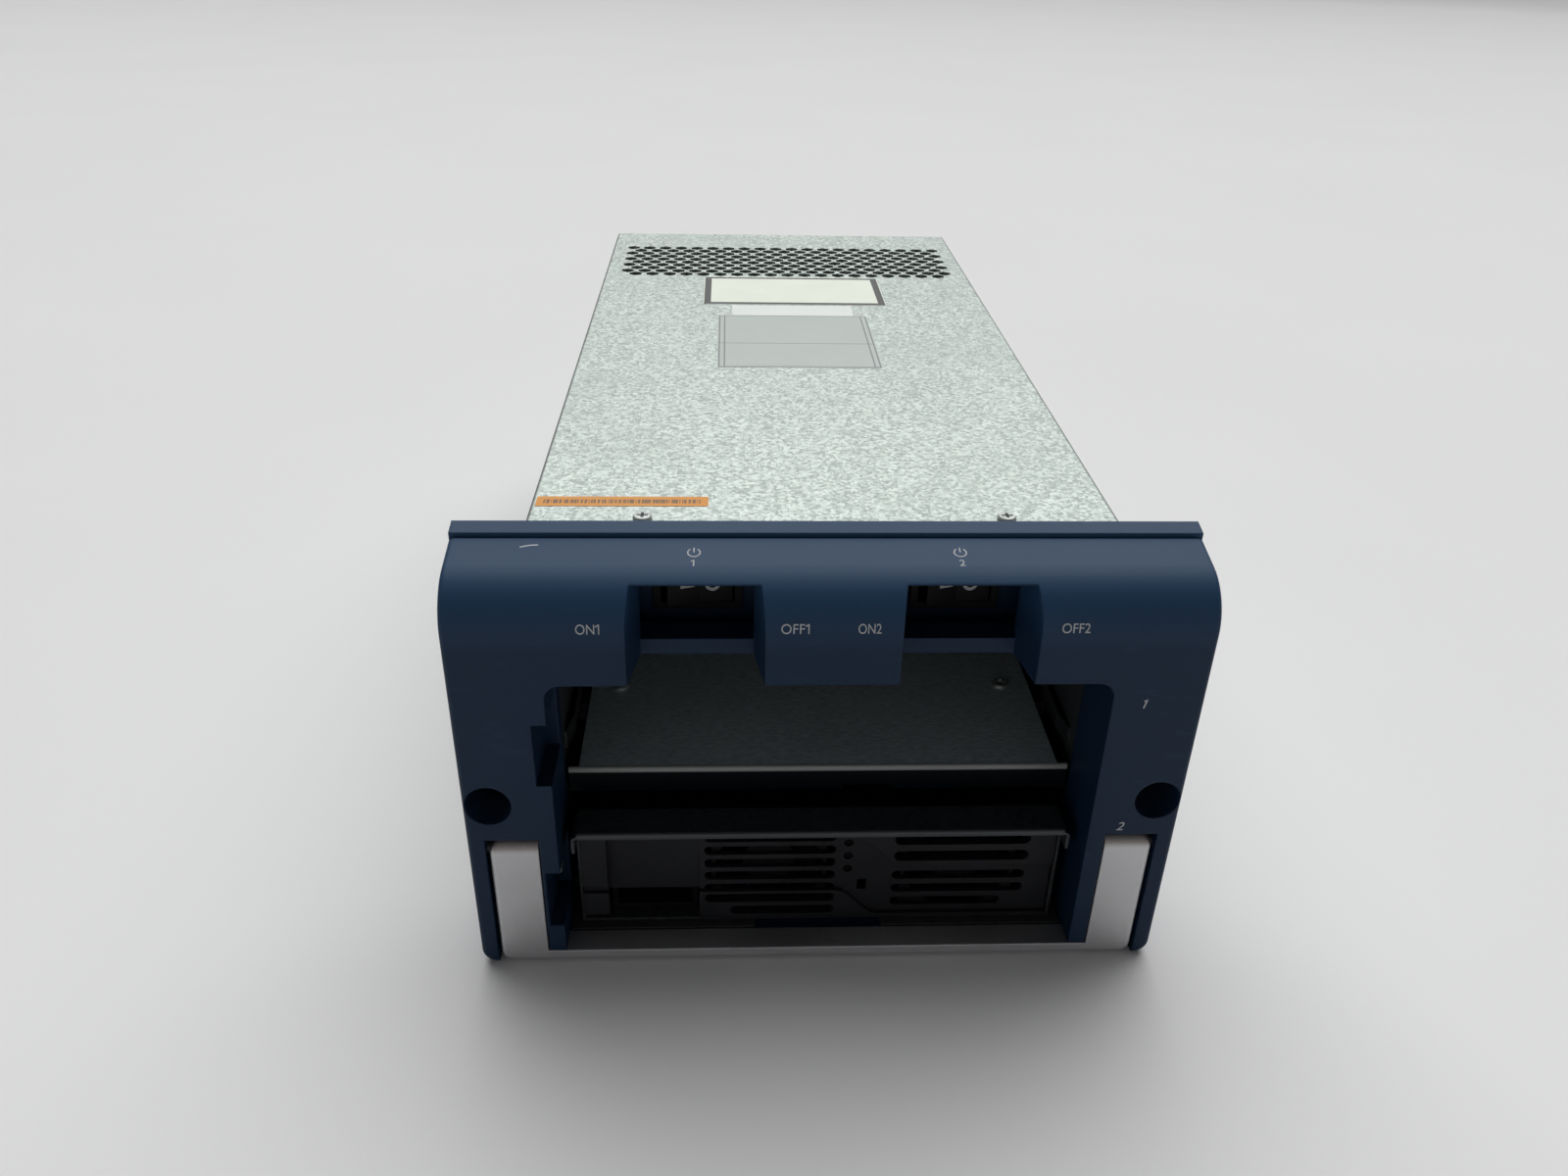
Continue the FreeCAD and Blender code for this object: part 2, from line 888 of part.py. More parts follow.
# Pins that the handle swings on, pressed into the walls beside each leg.
for side, sign in SIDES.items():
    ends = between(sign * pin_inner, sign * pin_outer)
    pin = rod(f"handle_pin_{side}", "X", dim.pin_radius, ends, (behind(pivot_depth), pivot_height))
    node(pin, f"handle_pin_{side}")

# Captive screws that hold the unit in its rack, each kept in the front by a clip.
for side, sign in SIDES.items():
    screw = Piece(f"captive_screw_{side}")
    middle = sign * tunnel_half
    head_back = behind(dim.tunnel_depth - dim.screw_head_gap)
    head_front = head_back - dim.screw_head_height
    clip_front = clip_seat + dim.clip_setback
    thread_start = bezel_back + dim.thread_setback
    screw.pad(
        "XZ", head_front, head_back,
        Circle(middle, dim.tunnel_height, dim.screw_head_radius),
    )
    screw.pad(
        "XZ", head_back, thread_start,
        Circle(middle, dim.tunnel_height, dim.screw_neck_radius),
    )
    screw.pad(
        "XZ", thread_start, bezel_back + dim.screw_reach,
        Circle(middle, dim.tunnel_height, dim.screw_radius),
    )
    screw.pocket(
        "XZ", head_front, head_front + dim.screw_slot_depth,
        rectangle(
            middle - dim.screw_head_radius, middle + dim.screw_head_radius,
            dim.tunnel_height - dim.screw_slot_width / 2,
            dim.tunnel_height + dim.screw_slot_width / 2,
        ),
    )
    clip = Piece(f"captive_clip_{side}")
    clip.pad(
        "XZ", clip_front, clip_front + dim.clip_thickness,
        Circle(middle, dim.tunnel_height, dim.clip_radius),
        Circle(middle, dim.tunnel_height, dim.screw_neck_radius),
    )

# Folded base: floor and both sides in one sheet, with a tongue under the bays.
base = Piece("chassis_base")
base.pad(
    "XZ", seat_face, rear - dim.sheet,
    Polygon(
        (-base_half, dim.bezel_floor),
        (base_half, dim.bezel_floor),
        (base_half, cover_under),
        (base_half - dim.sheet, cover_under),
        (base_half - dim.sheet, floor_top),
        (dim.sheet - base_half, floor_top),
        (dim.sheet - base_half, cover_under),
        (-base_half, cover_under),
    ),
)
tongue_half = opening_half - dim.tongue_inset
base.pad(
    "XY", dim.bezel_floor, floor_top,
    rectangle(-tongue_half, tongue_half, behind(dim.tongue_front), seat_face),
)
base.pocket(
    "XY", dim.bezel_floor, floor_top,
    rectangle(
        -dim.tongue_notch_width / 2, dim.tongue_notch_width / 2,
        behind(dim.tongue_front), behind(dim.tongue_front + dim.tongue_notch_depth),
    ),
)
for sign in SIDES.values():
    flange = between(sign * (base_half - dim.front_flange), sign * base_half)
    base.pad(
        "XZ", seat_face, seat_face + dim.sheet,
        rectangle(*flange, floor_top + dim.front_flange_inset, cover_under - dim.front_flange_inset),
    )
    base.pocket(
        "XZ", seat_face, seat_face + dim.sheet,
        Circle(sign * flange_half, dim.bezel_screw_low, dim.small_shank_radius),
        Circle(sign * flange_half, dim.bezel_screw_high, dim.small_shank_radius),
    )

# Cover: an inverted tray of the same sheet with a field of six-sided vents.
cover = Piece("cover_tray", finished=False)
cover.pad(
    "XZ", seat_face, rear,
    Polygon(
        (-case_half, dim.case_top - dim.cover_lip),
        (dim.sheet - case_half, dim.case_top - dim.cover_lip),
        (dim.sheet - case_half, cover_under),
        (case_half - dim.sheet, cover_under),
        (case_half - dim.sheet, dim.case_top - dim.cover_lip),
        (case_half, dim.case_top - dim.cover_lip),
        (case_half, dim.case_top),
        (-case_half, dim.case_top),
    ),
)
cover.round(
    dim.sheet,
    line_along("y", x=-case_half, z=dim.case_top),
    line_along("y", x=case_half, z=dim.case_top),
)
cover.pocket(
    "XY", cover_under, dim.case_top,
    Circle(-dim.cover_screw_spacing / 2, behind(dim.cover_screw_setback), dim.small_shank_radius),
    Circle(dim.cover_screw_spacing / 2, behind(dim.cover_screw_setback), dim.small_shank_radius),
)

hexagon_half_angle = as_size(180) / HEXAGON_SIDES
vent_corner = dim.vent_flats / (2 * of_angle("cos", hexagon_half_angle))
vents = []
for row in range(2 * count_of(dim.vent_row_pairs)):
    columns = count_of(dim.vent_columns) - (row + 1) % 2
    for column in range(columns):
        vent = doc.addObject("Part::Prism", f"vent_{row}_{column}")
        vent.Polygon = HEXAGON_SIDES
        vent.setExpression("Circumradius", vent_corner.text)
        vent.setExpression("Height", dim.sheet.text)
        vent.Placement = FreeCAD.Placement(FreeCAD.Vector(), VENT_TURN)
        set_place(
            vent, (column - (columns - 1) / 2) * dim.vent_pitch,
            behind(dim.vent_start + row * dim.vent_row_step), cover_under,
        )
        vents.append(vent)
vent_field = doc.addObject("Part::Compound", "vent_field")
vent_field.Links = vents
node(cut("top_cover", cover.body, vent_field), "top_cover")

# Rear panel: a flat plate with the output cut-out and exhaust slots.
panel = Piece("rear_panel")
panel.pad(
    "XZ", rear - dim.sheet, rear,
    rectangle(-base_half, base_half, dim.bezel_floor, cover_under),
)
output_half = dim.output_width / 2
output_low = dim.output_centre - dim.output_height / 2
output_high = dim.output_centre + dim.output_height / 2
panel.pocket(
    "XZ", rear - dim.sheet, rear,
    rectangle(-output_half, output_half, output_low, output_high),
)
slot_middle = (dim.bezel_floor + cover_under) / 2
for sign in SIDES.values():
    for index in range(count_of(dim.rear_slot_count)):
        middle = sign * (dim.rear_slot_start + index * dim.rear_slot_pitch)
        panel.pocket(
            "XZ", rear - dim.sheet, rear,
            rectangle(
                middle - dim.rear_slot_width / 2, middle + dim.rear_slot_width / 2,
                slot_middle - dim.rear_slot_height / 2, slot_middle + dim.rear_slot_height / 2,
            ),
        )

# Cage: roof and sides of both bays in one sheet, with feet welded to the floor.
cage_top = dim.bay_top + dim.cage_sheet
foot_half = cage_half + dim.cage_foot - dim.cage_sheet
cage_front = seat_face + dim.cage_setback
backplane_front = behind(dim.backplane_face)
cage = Piece("bay_cage")
cage.pad(
    "XZ", cage_front, backplane_front,
    Polygon(
        (-foot_half, floor_top),
        (-bay_half, floor_top),
        (-bay_half, dim.bay_top),
        (bay_half, dim.bay_top),
        (bay_half, floor_top),
        (foot_half, floor_top),
        (foot_half, floor_top + dim.cage_sheet),
        (cage_half, floor_top + dim.cage_sheet),
        (cage_half, cage_top),
        (-cage_half, cage_top),
        (-cage_half, floor_top + dim.cage_sheet),
        (-foot_half, floor_top + dim.cage_sheet),
    ),
)

# Shelf between the bays: turned down along its sides and front, carried by two rails.
shelf_half = dim.shelf_width / 2
lip_half = dim.shelf_lip_width / 2
shelf_under = dim.shelf_top - dim.shelf_sheet
shelf_front = behind(dim.shelf_front)
shelf = Piece("bay_shelf")
shelf.pad(
    "XZ", shelf_front, backplane_front,
    Polygon(
        (-shelf_half, dim.shelf_top - dim.shelf_side_drop),
        (dim.shelf_sheet - shelf_half, dim.shelf_top - dim.shelf_side_drop),
        (dim.shelf_sheet - shelf_half, shelf_under),
        (shelf_half - dim.shelf_sheet, shelf_under),
        (shelf_half - dim.shelf_sheet, dim.shelf_top - dim.shelf_side_drop),
        (shelf_half, dim.shelf_top - dim.shelf_side_drop),
        (shelf_half, dim.shelf_top),
        (-shelf_half, dim.shelf_top),
    ),
)
shelf.pad(
    "XZ", shelf_front, shelf_front + dim.shelf_sheet,
    rectangle(-lip_half, lip_half, dim.shelf_top - dim.shelf_lip_drop, dim.shelf_top),
)
shelf.round(dim.shelf_bend, line_along("x", y=shelf_front, z=dim.shelf_top))
shelf.pocket(
    "XZ", shelf_front, shelf_front + dim.shelf_sheet,
    rectangle(
        dim.shelf_notch_centre - dim.shelf_notch_width / 2,
        dim.shelf_notch_centre + dim.shelf_notch_width / 2,
        dim.shelf_top - dim.shelf_lip_drop,
        dim.shelf_top - dim.shelf_lip_drop + dim.shelf_notch_depth,
    ),
)
rail_starts = (dim.rail_front, dim.rail_front + dim.rail_spacing)
for start in rail_starts:
    shelf.pocket(
        "XZ", behind(start - dim.case_slack), behind(start + dim.rail_width + dim.case_slack),
        rectangle(-shelf_half, shelf_half, dim.shelf_top - dim.shelf_side_drop, shelf_under),
    )
shelf_screw_y = behind(dim.rail_front + dim.rail_width / 2)
for sign in SIDES.values():
    shelf.pocket(
        "XY", shelf_under, dim.shelf_top,
        Circle(sign * dim.shelf_screw_spacing / 2, shelf_screw_y, dim.small_shank_radius),
    )

# Cross rails: two angles across the cage that the shelf is screwed to.
rails = Piece("shelf_rails")
rails.pad(
    "YZ", -bay_half, bay_half,
    *(
        Polygon(
            (behind(start), shelf_under),
            (behind(start + dim.rail_width), shelf_under),
            (behind(start + dim.rail_width), shelf_under - dim.shelf_sheet),
            (behind(start + dim.shelf_sheet), shelf_under - dim.shelf_sheet),
            (behind(start + dim.shelf_sheet), shelf_under - dim.rail_drop),
            (behind(start), shelf_under - dim.rail_drop),
        )
        for start in rail_starts
    ),
)
rails.pocket(
    "XY", shelf_under - dim.shelf_sheet, shelf_under,
    Circle(-dim.shelf_screw_spacing / 2, shelf_screw_y, dim.small_shank_radius),
    Circle(dim.shelf_screw_spacing / 2, shelf_screw_y, dim.small_shank_radius),
)

# Earthing springs: bowed strips on the cage sides that press on each module.
for level_name, level in (("lower", floor_top), ("upper", dim.shelf_top)):
    for side, sign in SIDES.items():
        spring = Piece(f"guide_spring_{level_name}_{side}")
        wall = sign * bay_half
        bow = sign * (bay_half - dim.spring_bow)
        skin = -sign * dim.spring_sheet
        spring_front = behind(dim.spring_front)
        spring_back = spring_front + dim.spring_length
        ramp = dim.spring_length / 4
        spring.pad(
            "XY", level + dim.spring_height / 3, level + dim.spring_height,
            Polygon(
                (wall, spring_front),
                (bow, spring_front + ramp),
                (bow, spring_back - ramp),
                (wall, spring_back),
                (wall + skin, spring_back),
                (bow + skin, spring_back - ramp),
                (bow + skin, spring_front + ramp),
                (wall + skin, spring_front),
            ),
        )

# Backplane: an upright board across the back of both bays, with air windows.
backplane = Piece("backplane_board")
backplane_back = backplane_front + dim.board_thickness
backplane.pad(
    "XZ", backplane_front, backplane_back,
    rectangle(-bay_half, bay_half, floor_top, dim.bay_top),
)
for level in (floor_top, dim.shelf_top):
    for sign in SIDES.values():
        window_side = bay_half - dim.window_inset
        window = between(sign * window_side, sign * (window_side - dim.window_width))
        backplane.pocket(
            "XZ", backplane_front, backplane_back,
            rectangle(*window, level + dim.window_sill, level + dim.window_sill + dim.window_height),
        )

# Bay sockets: plug blocks on the backplane with a slot for each blade of a module.
pcb_top_lift = dim.module_gap + dim.module_sheet + dim.pcb_lift + dim.pcb_thickness
plug_half = dim.plug_width / 2
blade_start = -dim.blade_pitch * (dim.blade_count - 1) / 2
for level_name, level in (("lower", floor_top), ("upper", dim.shelf_top)):
    socket = Piece(f"bay_socket_{level_name}")
    plug_low = level + pcb_top_lift
    plug_middle = plug_low + dim.plug_height / 2
    socket.pad(
        "XZ", backplane_front - dim.plug_depth, backplane_front,
        rectangle(-plug_half, plug_half, plug_low, plug_low + dim.plug_height),
    )
    slot_half = dim.blade_thickness / 2 + dim.blade_gap
    socket.pocket(
        "XZ", backplane_front - dim.plug_depth, backplane_front - dim.blade_gap,
        *(
            rectangle(
                blade_start + index * dim.blade_pitch - slot_half,
                blade_start + index * dim.blade_pitch + slot_half,
                plug_middle - dim.blade_height / 2 - dim.blade_gap,
                plug_middle + dim.blade_height / 2 + dim.blade_gap,
            )
            for index in range(count_of(dim.blade_count))
        ),
    )

# Output connector: a flanged block behind the rear panel with blades in its socket.
output = Piece("output_connector")
output_front = rear - dim.output_depth
cavity_half = output_half - dim.output_wall
output.pad("XZ", output_front, rear, rectangle(-output_half, output_half, output_low, output_high))
output.pad(
    "XZ", rear - dim.sheet - dim.output_wall, rear - dim.sheet,
    rectangle(
        -output_half - dim.output_flange, output_half + dim.output_flange,
        output_low - dim.output_flange, output_high + dim.output_flange,
    ),
)
output.pocket(
    "XZ", rear - dim.output_cavity, rear,
    rectangle(-cavity_half, cavity_half, output_low + dim.output_wall, output_high - dim.output_wall),
)
group(
    "output_blades",
    *(
        block(
            f"output_blade_{index}",
            (
                blade_start + index * dim.blade_pitch - dim.blade_thickness / 2,
                blade_start + index * dim.blade_pitch + dim.blade_thickness / 2,
            ),
            (rear - dim.output_cavity, rear - dim.output_wall),
            (dim.output_centre - dim.blade_height / 2, dim.output_centre + dim.blade_height / 2),
        )
        for index in range(count_of(dim.blade_count))
    ),
)

# Busbars: two copper bars from the backplane to the output connector.
group(
    "busbars",
    *(
        block(
            f"busbar_{side}",
            (
                sign * dim.busbar_spacing / 2 - dim.busbar_thickness / 2,
                sign * dim.busbar_spacing / 2 + dim.busbar_thickness / 2,
            ),
            (backplane_back, output_front),
            (dim.output_centre - dim.busbar_height / 2, dim.output_centre + dim.busbar_height / 2),
        )
        for side, sign in SIDES.items()
    ),
)

# Switch bracket: a channel between the cage roof and the cover that holds the rockers.
bracket = Piece("switch_bracket")
bracket_face = behind(dim.bracket_face)
bracket_inner = bracket_face + dim.sheet
bracket_half = dim.bracket_width / 2
bracket.pad(
    "YZ", -bracket_half, bracket_half,
    Polygon(
        (bracket_face, cage_top),
        (bracket_inner + dim.bracket_foot, cage_top),
        (bracket_inner + dim.bracket_foot, cage_top + dim.sheet),
        (bracket_inner, cage_top + dim.sheet),
        (bracket_inner, cover_under - dim.sheet),
        (bracket_inner + dim.bracket_head, cover_under - dim.sheet),
        (bracket_inner + dim.bracket_head, cover_under),
        (bracket_face, cover_under),
    ),
)
body_half = dim.switch_body_width / 2
for sign in SIDES.values():
    middle = sign * recess_middle
    bracket.pocket(
        "XZ", bracket_face, bracket_inner,
        rectangle(
            middle - body_half, middle + body_half,
            dim.switch_height - dim.switch_body_height / 2,
            dim.switch_height + dim.switch_body_height / 2,
        ),
    )
    bracket.pocket(
        "XY", cover_under - dim.sheet, cover_under,
        Circle(
            sign * dim.cover_screw_spacing / 2, behind(dim.cover_screw_setback), dim.small_shank_radius,
        ),
    )

# Rocker switches: snapped into the bracket, each rocking about an upright pin.
for number, sign in (("1", -1), ("2", 1)):
    middle = sign * recess_middle
    frame_half = dim.switch_frame_width / 2
    cavity = dim.switch_cavity_width / 2
    cavity_rise = dim.rocker_height / 2 + dim.rocker_gap
    frame_front = bracket_face - dim.switch_frame_depth
    pivot_y = frame_front + dim.rocker_pivot_depth
    switch = Piece(f"switch_body_{number}")
    switch.pad(
        "XZ", frame_front, bracket_face,
        rectangle(
            middle - frame_half, middle + frame_half,
            dim.switch_height - dim.switch_frame_height / 2,
            dim.switch_height + dim.switch_frame_height / 2,
        ),
    )
    switch.pad(
        "XZ", bracket_face, bracket_face + dim.switch_body_depth,
        rectangle(
            middle - body_half, middle + body_half,
            dim.switch_height - dim.switch_body_height / 2,
            dim.switch_height + dim.switch_body_height / 2,
        ),
    )
    switch.pocket(
        "XZ", frame_front, frame_front + dim.switch_cavity_depth,
        rectangle(
            middle - cavity, middle + cavity,
            dim.switch_height - cavity_rise, dim.switch_height + cavity_rise,
        ),
    )
    pin_reach = cavity_rise + dim.rocker_pin_length
    switch.pocket(
        "XY", dim.switch_height - pin_reach, dim.switch_height + pin_reach,
        Circle(middle, pivot_y, dim.rocker_pin_radius + dim.pin_gap),
    )
    switch.pad(
        "XZ", bracket_face + dim.switch_body_depth,
        bracket_face + dim.switch_body_depth + dim.terminal_length,
        *(
            rectangle(
                middle + step * dim.terminal_pitch - dim.terminal_thickness / 2,
                middle + step * dim.terminal_pitch + dim.terminal_thickness / 2,
                dim.switch_height - dim.terminal_width / 2,
                dim.switch_height + dim.terminal_width / 2,
            )
            for step in (-1, 0, 1)
        ),
    )
    rocker = Piece(f"rocker_{number}")
    rocker.pad(
        "XY", -dim.rocker_height / 2, dim.rocker_height / 2,
        Polygon(
            (-dim.rocker_width / 2, -dim.rocker_rise),
            (0, dim.rocker_dip - dim.rocker_rise),
            (dim.rocker_width / 2, -dim.rocker_rise),
            (dim.rocker_width / 2, dim.rocker_skirt),
            (dim.rocker_keel_width / 2, dim.rocker_keel),
            (-dim.rocker_keel_width / 2, dim.rocker_keel),
            (-dim.rocker_width / 2, dim.rocker_skirt),
        ),
    )
    pin_end = dim.rocker_height / 2 + dim.rocker_pin_length
    rocker.pad("XY", -pin_end, pin_end, Circle(0, 0, dim.rocker_pin_radius))
    rocker.place(middle, pivot_y, dim.switch_height, turn=dim.rocker_tilt)

# Switch board: on posts over the cage roof, with a relay for each output.
board_low = cage_top + dim.standoff_height
board_front = behind(dim.switch_board_start)
board_back = board_front + dim.switch_board_length
board_half = dim.switch_board_width / 2
node(
    block(
        "switch_board", (-board_half, board_half), (board_front, board_back),
        (board_low, board_low + dim.switch_board_thickness),
    ),
    "switch_board",
)
group(
    "board_posts",
    *(
        rod(
            f"board_post_{side}_{place}", "Z", dim.standoff_radius, (cage_top, board_low),
            (sign * (board_half - dim.standoff_inset), depth),
        )
        for side, sign in SIDES.items()
        for place, depth in (
            ("front", board_front + dim.standoff_inset),
            ("back", board_back - dim.standoff_inset),
        )
    ),
)
relay_low = board_low + dim.switch_board_thickness
relay_middle = (board_front + board_back) / 2
group(
    "output_relays",
    *(
        block(
            f"relay_{side}",
            (
                sign * dim.relay_spacing / 2 - dim.relay_width / 2,
                sign * dim.relay_spacing / 2 + dim.relay_width / 2,
            ),
            (relay_middle - dim.relay_length / 2, relay_middle + dim.relay_length / 2),
            (relay_low, relay_low + dim.relay_height),
        )
        for side, sign in SIDES.items()
    ),
)


def small_screw(name, axis, seat, direction, across, length, head_radius=dim.small_head_radius):
    """A pan-head screw: its head stands off the seat against the direction."""
    head = between(seat, seat - direction * dim.small_head_height)
    shank = between(seat, seat + direction * length)
    return fuse(
        name,
        rod(f"{name}_head", axis, head_radius, head, across),
        rod(f"{name}_shank", axis, dim.small_shank_radius, shank, across),
    )


# Screws of the case, grouped by what they hold.
group(
    "cover_screws",
    *(
        small_screw(
            f"cover_screw_{side}", "Z", dim.case_top, -1,
            (sign * dim.cover_screw_spacing / 2, behind(dim.cover_screw_setback)),
            dim.small_shank_length,
        )
        for side, sign in SIDES.items()
    ),
)
group(
    "shelf_screws",
    *(
        small_screw(
            f"shelf_screw_{side}", "Z", dim.shelf_top, -1,
            (sign * dim.shelf_screw_spacing / 2, shelf_screw_y), dim.small_shank_length,
        )
        for side, sign in SIDES.items()
    ),
)
group(
    "bezel_screws",
    *(
        small_screw(
            f"bezel_screw_{side}_{place}", "Y", seat_face + dim.sheet, -1,
            (sign * flange_half, height), dim.bezel_screw_length, dim.bezel_screw_head,
        )
        for side, sign in SIDES.items()
        for place, height in (("low", dim.bezel_screw_low), ("high", dim.bezel_screw_high))
    ),
)

# Power module: a tray and a lid, its moulded face set back under the lid's edge.
module_half = dim.module_width / 2
module_low = floor_top + dim.module_gap
module_top = module_low + dim.module_height
tray_half = module_half - dim.module_sheet
tray_floor = module_low + dim.module_sheet
lid_under = module_top - dim.module_sheet
module_front = behind(dim.module_front)
module_rear = behind(dim.module_rear)
tray_front = module_front + dim.module_case_setback
tray = Piece("module_case")
tray.pad(
    "XZ", tray_front, module_rear,
    Polygon(
        (-tray_half, module_low),
        (tray_half, module_low),
        (tray_half, lid_under),
        (tray_half - dim.module_sheet, lid_under),
        (tray_half - dim.module_sheet, tray_floor),
        (dim.module_sheet - tray_half, tray_floor),
        (dim.module_sheet - tray_half, lid_under),
        (-tray_half, lid_under),
    ),
)
tray.pad(
    "XZ", module_rear - dim.module_sheet, module_rear,
    rectangle(-tray_half, tray_half, module_low, lid_under),
)
pcb_low = tray_floor + dim.pcb_lift
pcb_top = pcb_low + dim.pcb_thickness
plug_high = pcb_top + dim.plug_height
tray.pocket(
    "XZ", module_rear - dim.module_sheet, module_rear,
    rectangle(-plug_half, plug_half, pcb_top, plug_high),
)
catch_front = behind(dim.catch_front)
catch_back = catch_front + dim.catch_length
catch_middle = (dim.latch_arm_low + dim.latch_arm_high) / 2
tray.pocket(
    "XY", catch_middle - dim.catch_height / 2 - dim.catch_window_gap,
    catch_middle + dim.catch_height / 2 + dim.catch_window_gap,
    rectangle(
        -tray_half, dim.module_sheet - tray_half,
        catch_front - dim.catch_window_gap, catch_back + dim.catch_window_gap,
    ),
)
for sign in SIDES.values():
    exhaust = between(sign * (plug_half + dim.window_inset), sign * (tray_half - dim.window_inset))
    tray.pocket(
        "XZ", module_rear - dim.module_sheet, module_rear,
        rectangle(*exhaust, module_low + dim.window_sill, lid_under - dim.window_inset),
    )

lid = Piece("module_cover")
lid.pad(
    "XZ", module_front, module_rear,
    Polygon(
        (-module_half, module_top - dim.module_lip),
        (-tray_half, module_top - dim.module_lip),
        (-tray_half, lid_under),
        (tray_half, lid_under),
        (tray_half, module_top - dim.module_lip),
        (module_half, module_top - dim.module_lip),
        (module_half, module_top),
        (-module_half, module_top),
    ),
)
lid.round(
    dim.module_bend,
    line_along("y", x=-module_half, z=module_top),
    line_along("y", x=module_half, z=module_top),
)
lid.pad(
    "XY", module_top, module_top + dim.module_sheet,
    rectangle(
        dim.module_bend - module_half, module_half - dim.module_bend,
        module_front, module_front + dim.lid_hem,
    ),
)
lid.round(
    dim.module_sheet,
    line_along("x", y=module_front, z=module_top + dim.module_sheet),
)
lid_screws = [
    (sign * (module_half - dim.module_screw_inset), depth)
    for sign in SIDES.values()
    for depth in (module_front + dim.module_screw_front, module_rear - dim.module_screw_rear)
]
lid.pocket(
    "XY", lid_under, module_top,
    *(Circle(x, y, dim.small_shank_radius) for x, y in lid_screws),
)

WAVE_STEPS = 6


def wave(start, end, high, low, sweep):
    """Points of a smooth fall between two levels, as far round a cosine as the sweep."""
    last = of_angle("cos", as_size(sweep))
    points = []
    for step in range(WAVE_STEPS + 1):
        share = (of_angle("cos", as_size(sweep * step / WAVE_STEPS)) - last) / (1 - last)
        points.append((start + (end - start) * (step / WAVE_STEPS), low + (high - low) * share))
    return points


# Module face: a moulded grille with slots in two raised fields with wavy edges and in the
# sunk band between them, and a shallow scoop that leans back over the inlet.
face = Piece("module_front")
face_front = module_front + dim.grille_setback
face_back = face_front + dim.grille_thickness
face_low = tray_floor
face_high = lid_under - dim.grille_margin
face_right = tray_half - dim.module_sheet - dim.grille_margin
window_left = -dim.inlet_left - dim.inlet_window_gap
window_right = dim.inlet_window_gap - dim.inlet_right
face.pad("XZ", face_front, face_back, rectangle(-dim.grille_left, face_right, face_low, face_high))
face.pad(
    "XZ", face_back, face_front + dim.scoop_depth + dim.scoop_wall,
    rectangle(window_left - dim.scoop_wall, window_right + dim.scoop_wall, dim.inlet_window_top, face_high),
)
face.pocket(
    "YZ", window_left, window_right,
    Polygon(
        (face_front, dim.scoop_top),
        (face_front + dim.scoop_depth, dim.inlet_window_top),
        (face_front, dim.inlet_window_top),
    ),
)
face.pocket(
    "XZ", face_front, face_back,
    rectangle(-dim.grille_left, window_right, face_low, dim.inlet_window_top),
)
face.pad(
    "XZ", face_front - dim.grille_relief, face_front,
    Polygon(
        (dim.wave_start, face_high),
        *wave(dim.wave_start, dim.wave_end, dim.wave_top, dim.wave_bottom, 90),
        (face_right, dim.wave_bottom),
        (face_right, face_high),
    ),
)
face.pad(
    "XZ", face_front - dim.grille_relief, face_front,
    Polygon(
        (window_right, face_low),
        (window_right, dim.foot_top),
        *wave(dim.foot_start, dim.foot_end, dim.foot_top, dim.foot_bottom, 180),
        (face_right, dim.foot_bottom),
        (face_right, face_low),
    ),
)
sunk_slots = []
for index in range(count_of(dim.left_slot_count)):
    level = dim.left_slot_low + index * dim.left_slot_pitch
    sunk_slots.append(Slot(dim.left_slots_start, dim.left_slots_end, level, dim.slot_height))
for index in range(3):
    end = dim.right_slots_end if index else dim.right_slots_short
    level = dim.right_slot_low + index * dim.right_slot_pitch
    sunk_slots.append(Slot(dim.right_slots_start, end, level, dim.slot_height))
face.pocket("XZ", face_front, face_back, *sunk_slots)
raised_slots = []
for index in range(2):
    start = dim.left_slots_start if index else dim.foot_slots_short
    level = dim.foot_slot_low + index * dim.foot_slot_pitch
    raised_slots.append(Slot(start, dim.left_slots_end, level, dim.slot_height))
    level = dim.right_slot_high + index * dim.right_slot_high_pitch
    raised_slots.append(Slot(dim.right_slots_start, dim.right_slots_end, level, dim.high_slot_height))
face.pocket("XZ", face_front - dim.grille_relief, face_back, *raised_slots)
lamp_levels = [dim.lamp_low + index * dim.lamp_pitch for index in range(3)]
face.pocket(
    "XZ", face_front, face_back,
    *(Circle(dim.lamp_column, level, dim.lamp_radius) for level in lamp_levels),
)
face.pocket(
    "XZ", face_front, face_back,
    rectangle(
        dim.key_centre - dim.key_width / 2, dim.key_centre + dim.key_width / 2,
        dim.key_level - dim.key_height / 2, dim.key_level + dim.key_height / 2,
    ),
)
group(
    "status_lights",
    *(
        rod(
            f"status_light_{index}", "Y", dim.lamp_radius - dim.lamp_gap,
            (face_front + dim.lamp_recess, face_front + dim.lamp_length), (dim.lamp_column, level),
        )
        for index, level in enumerate(lamp_levels)
    ),
)

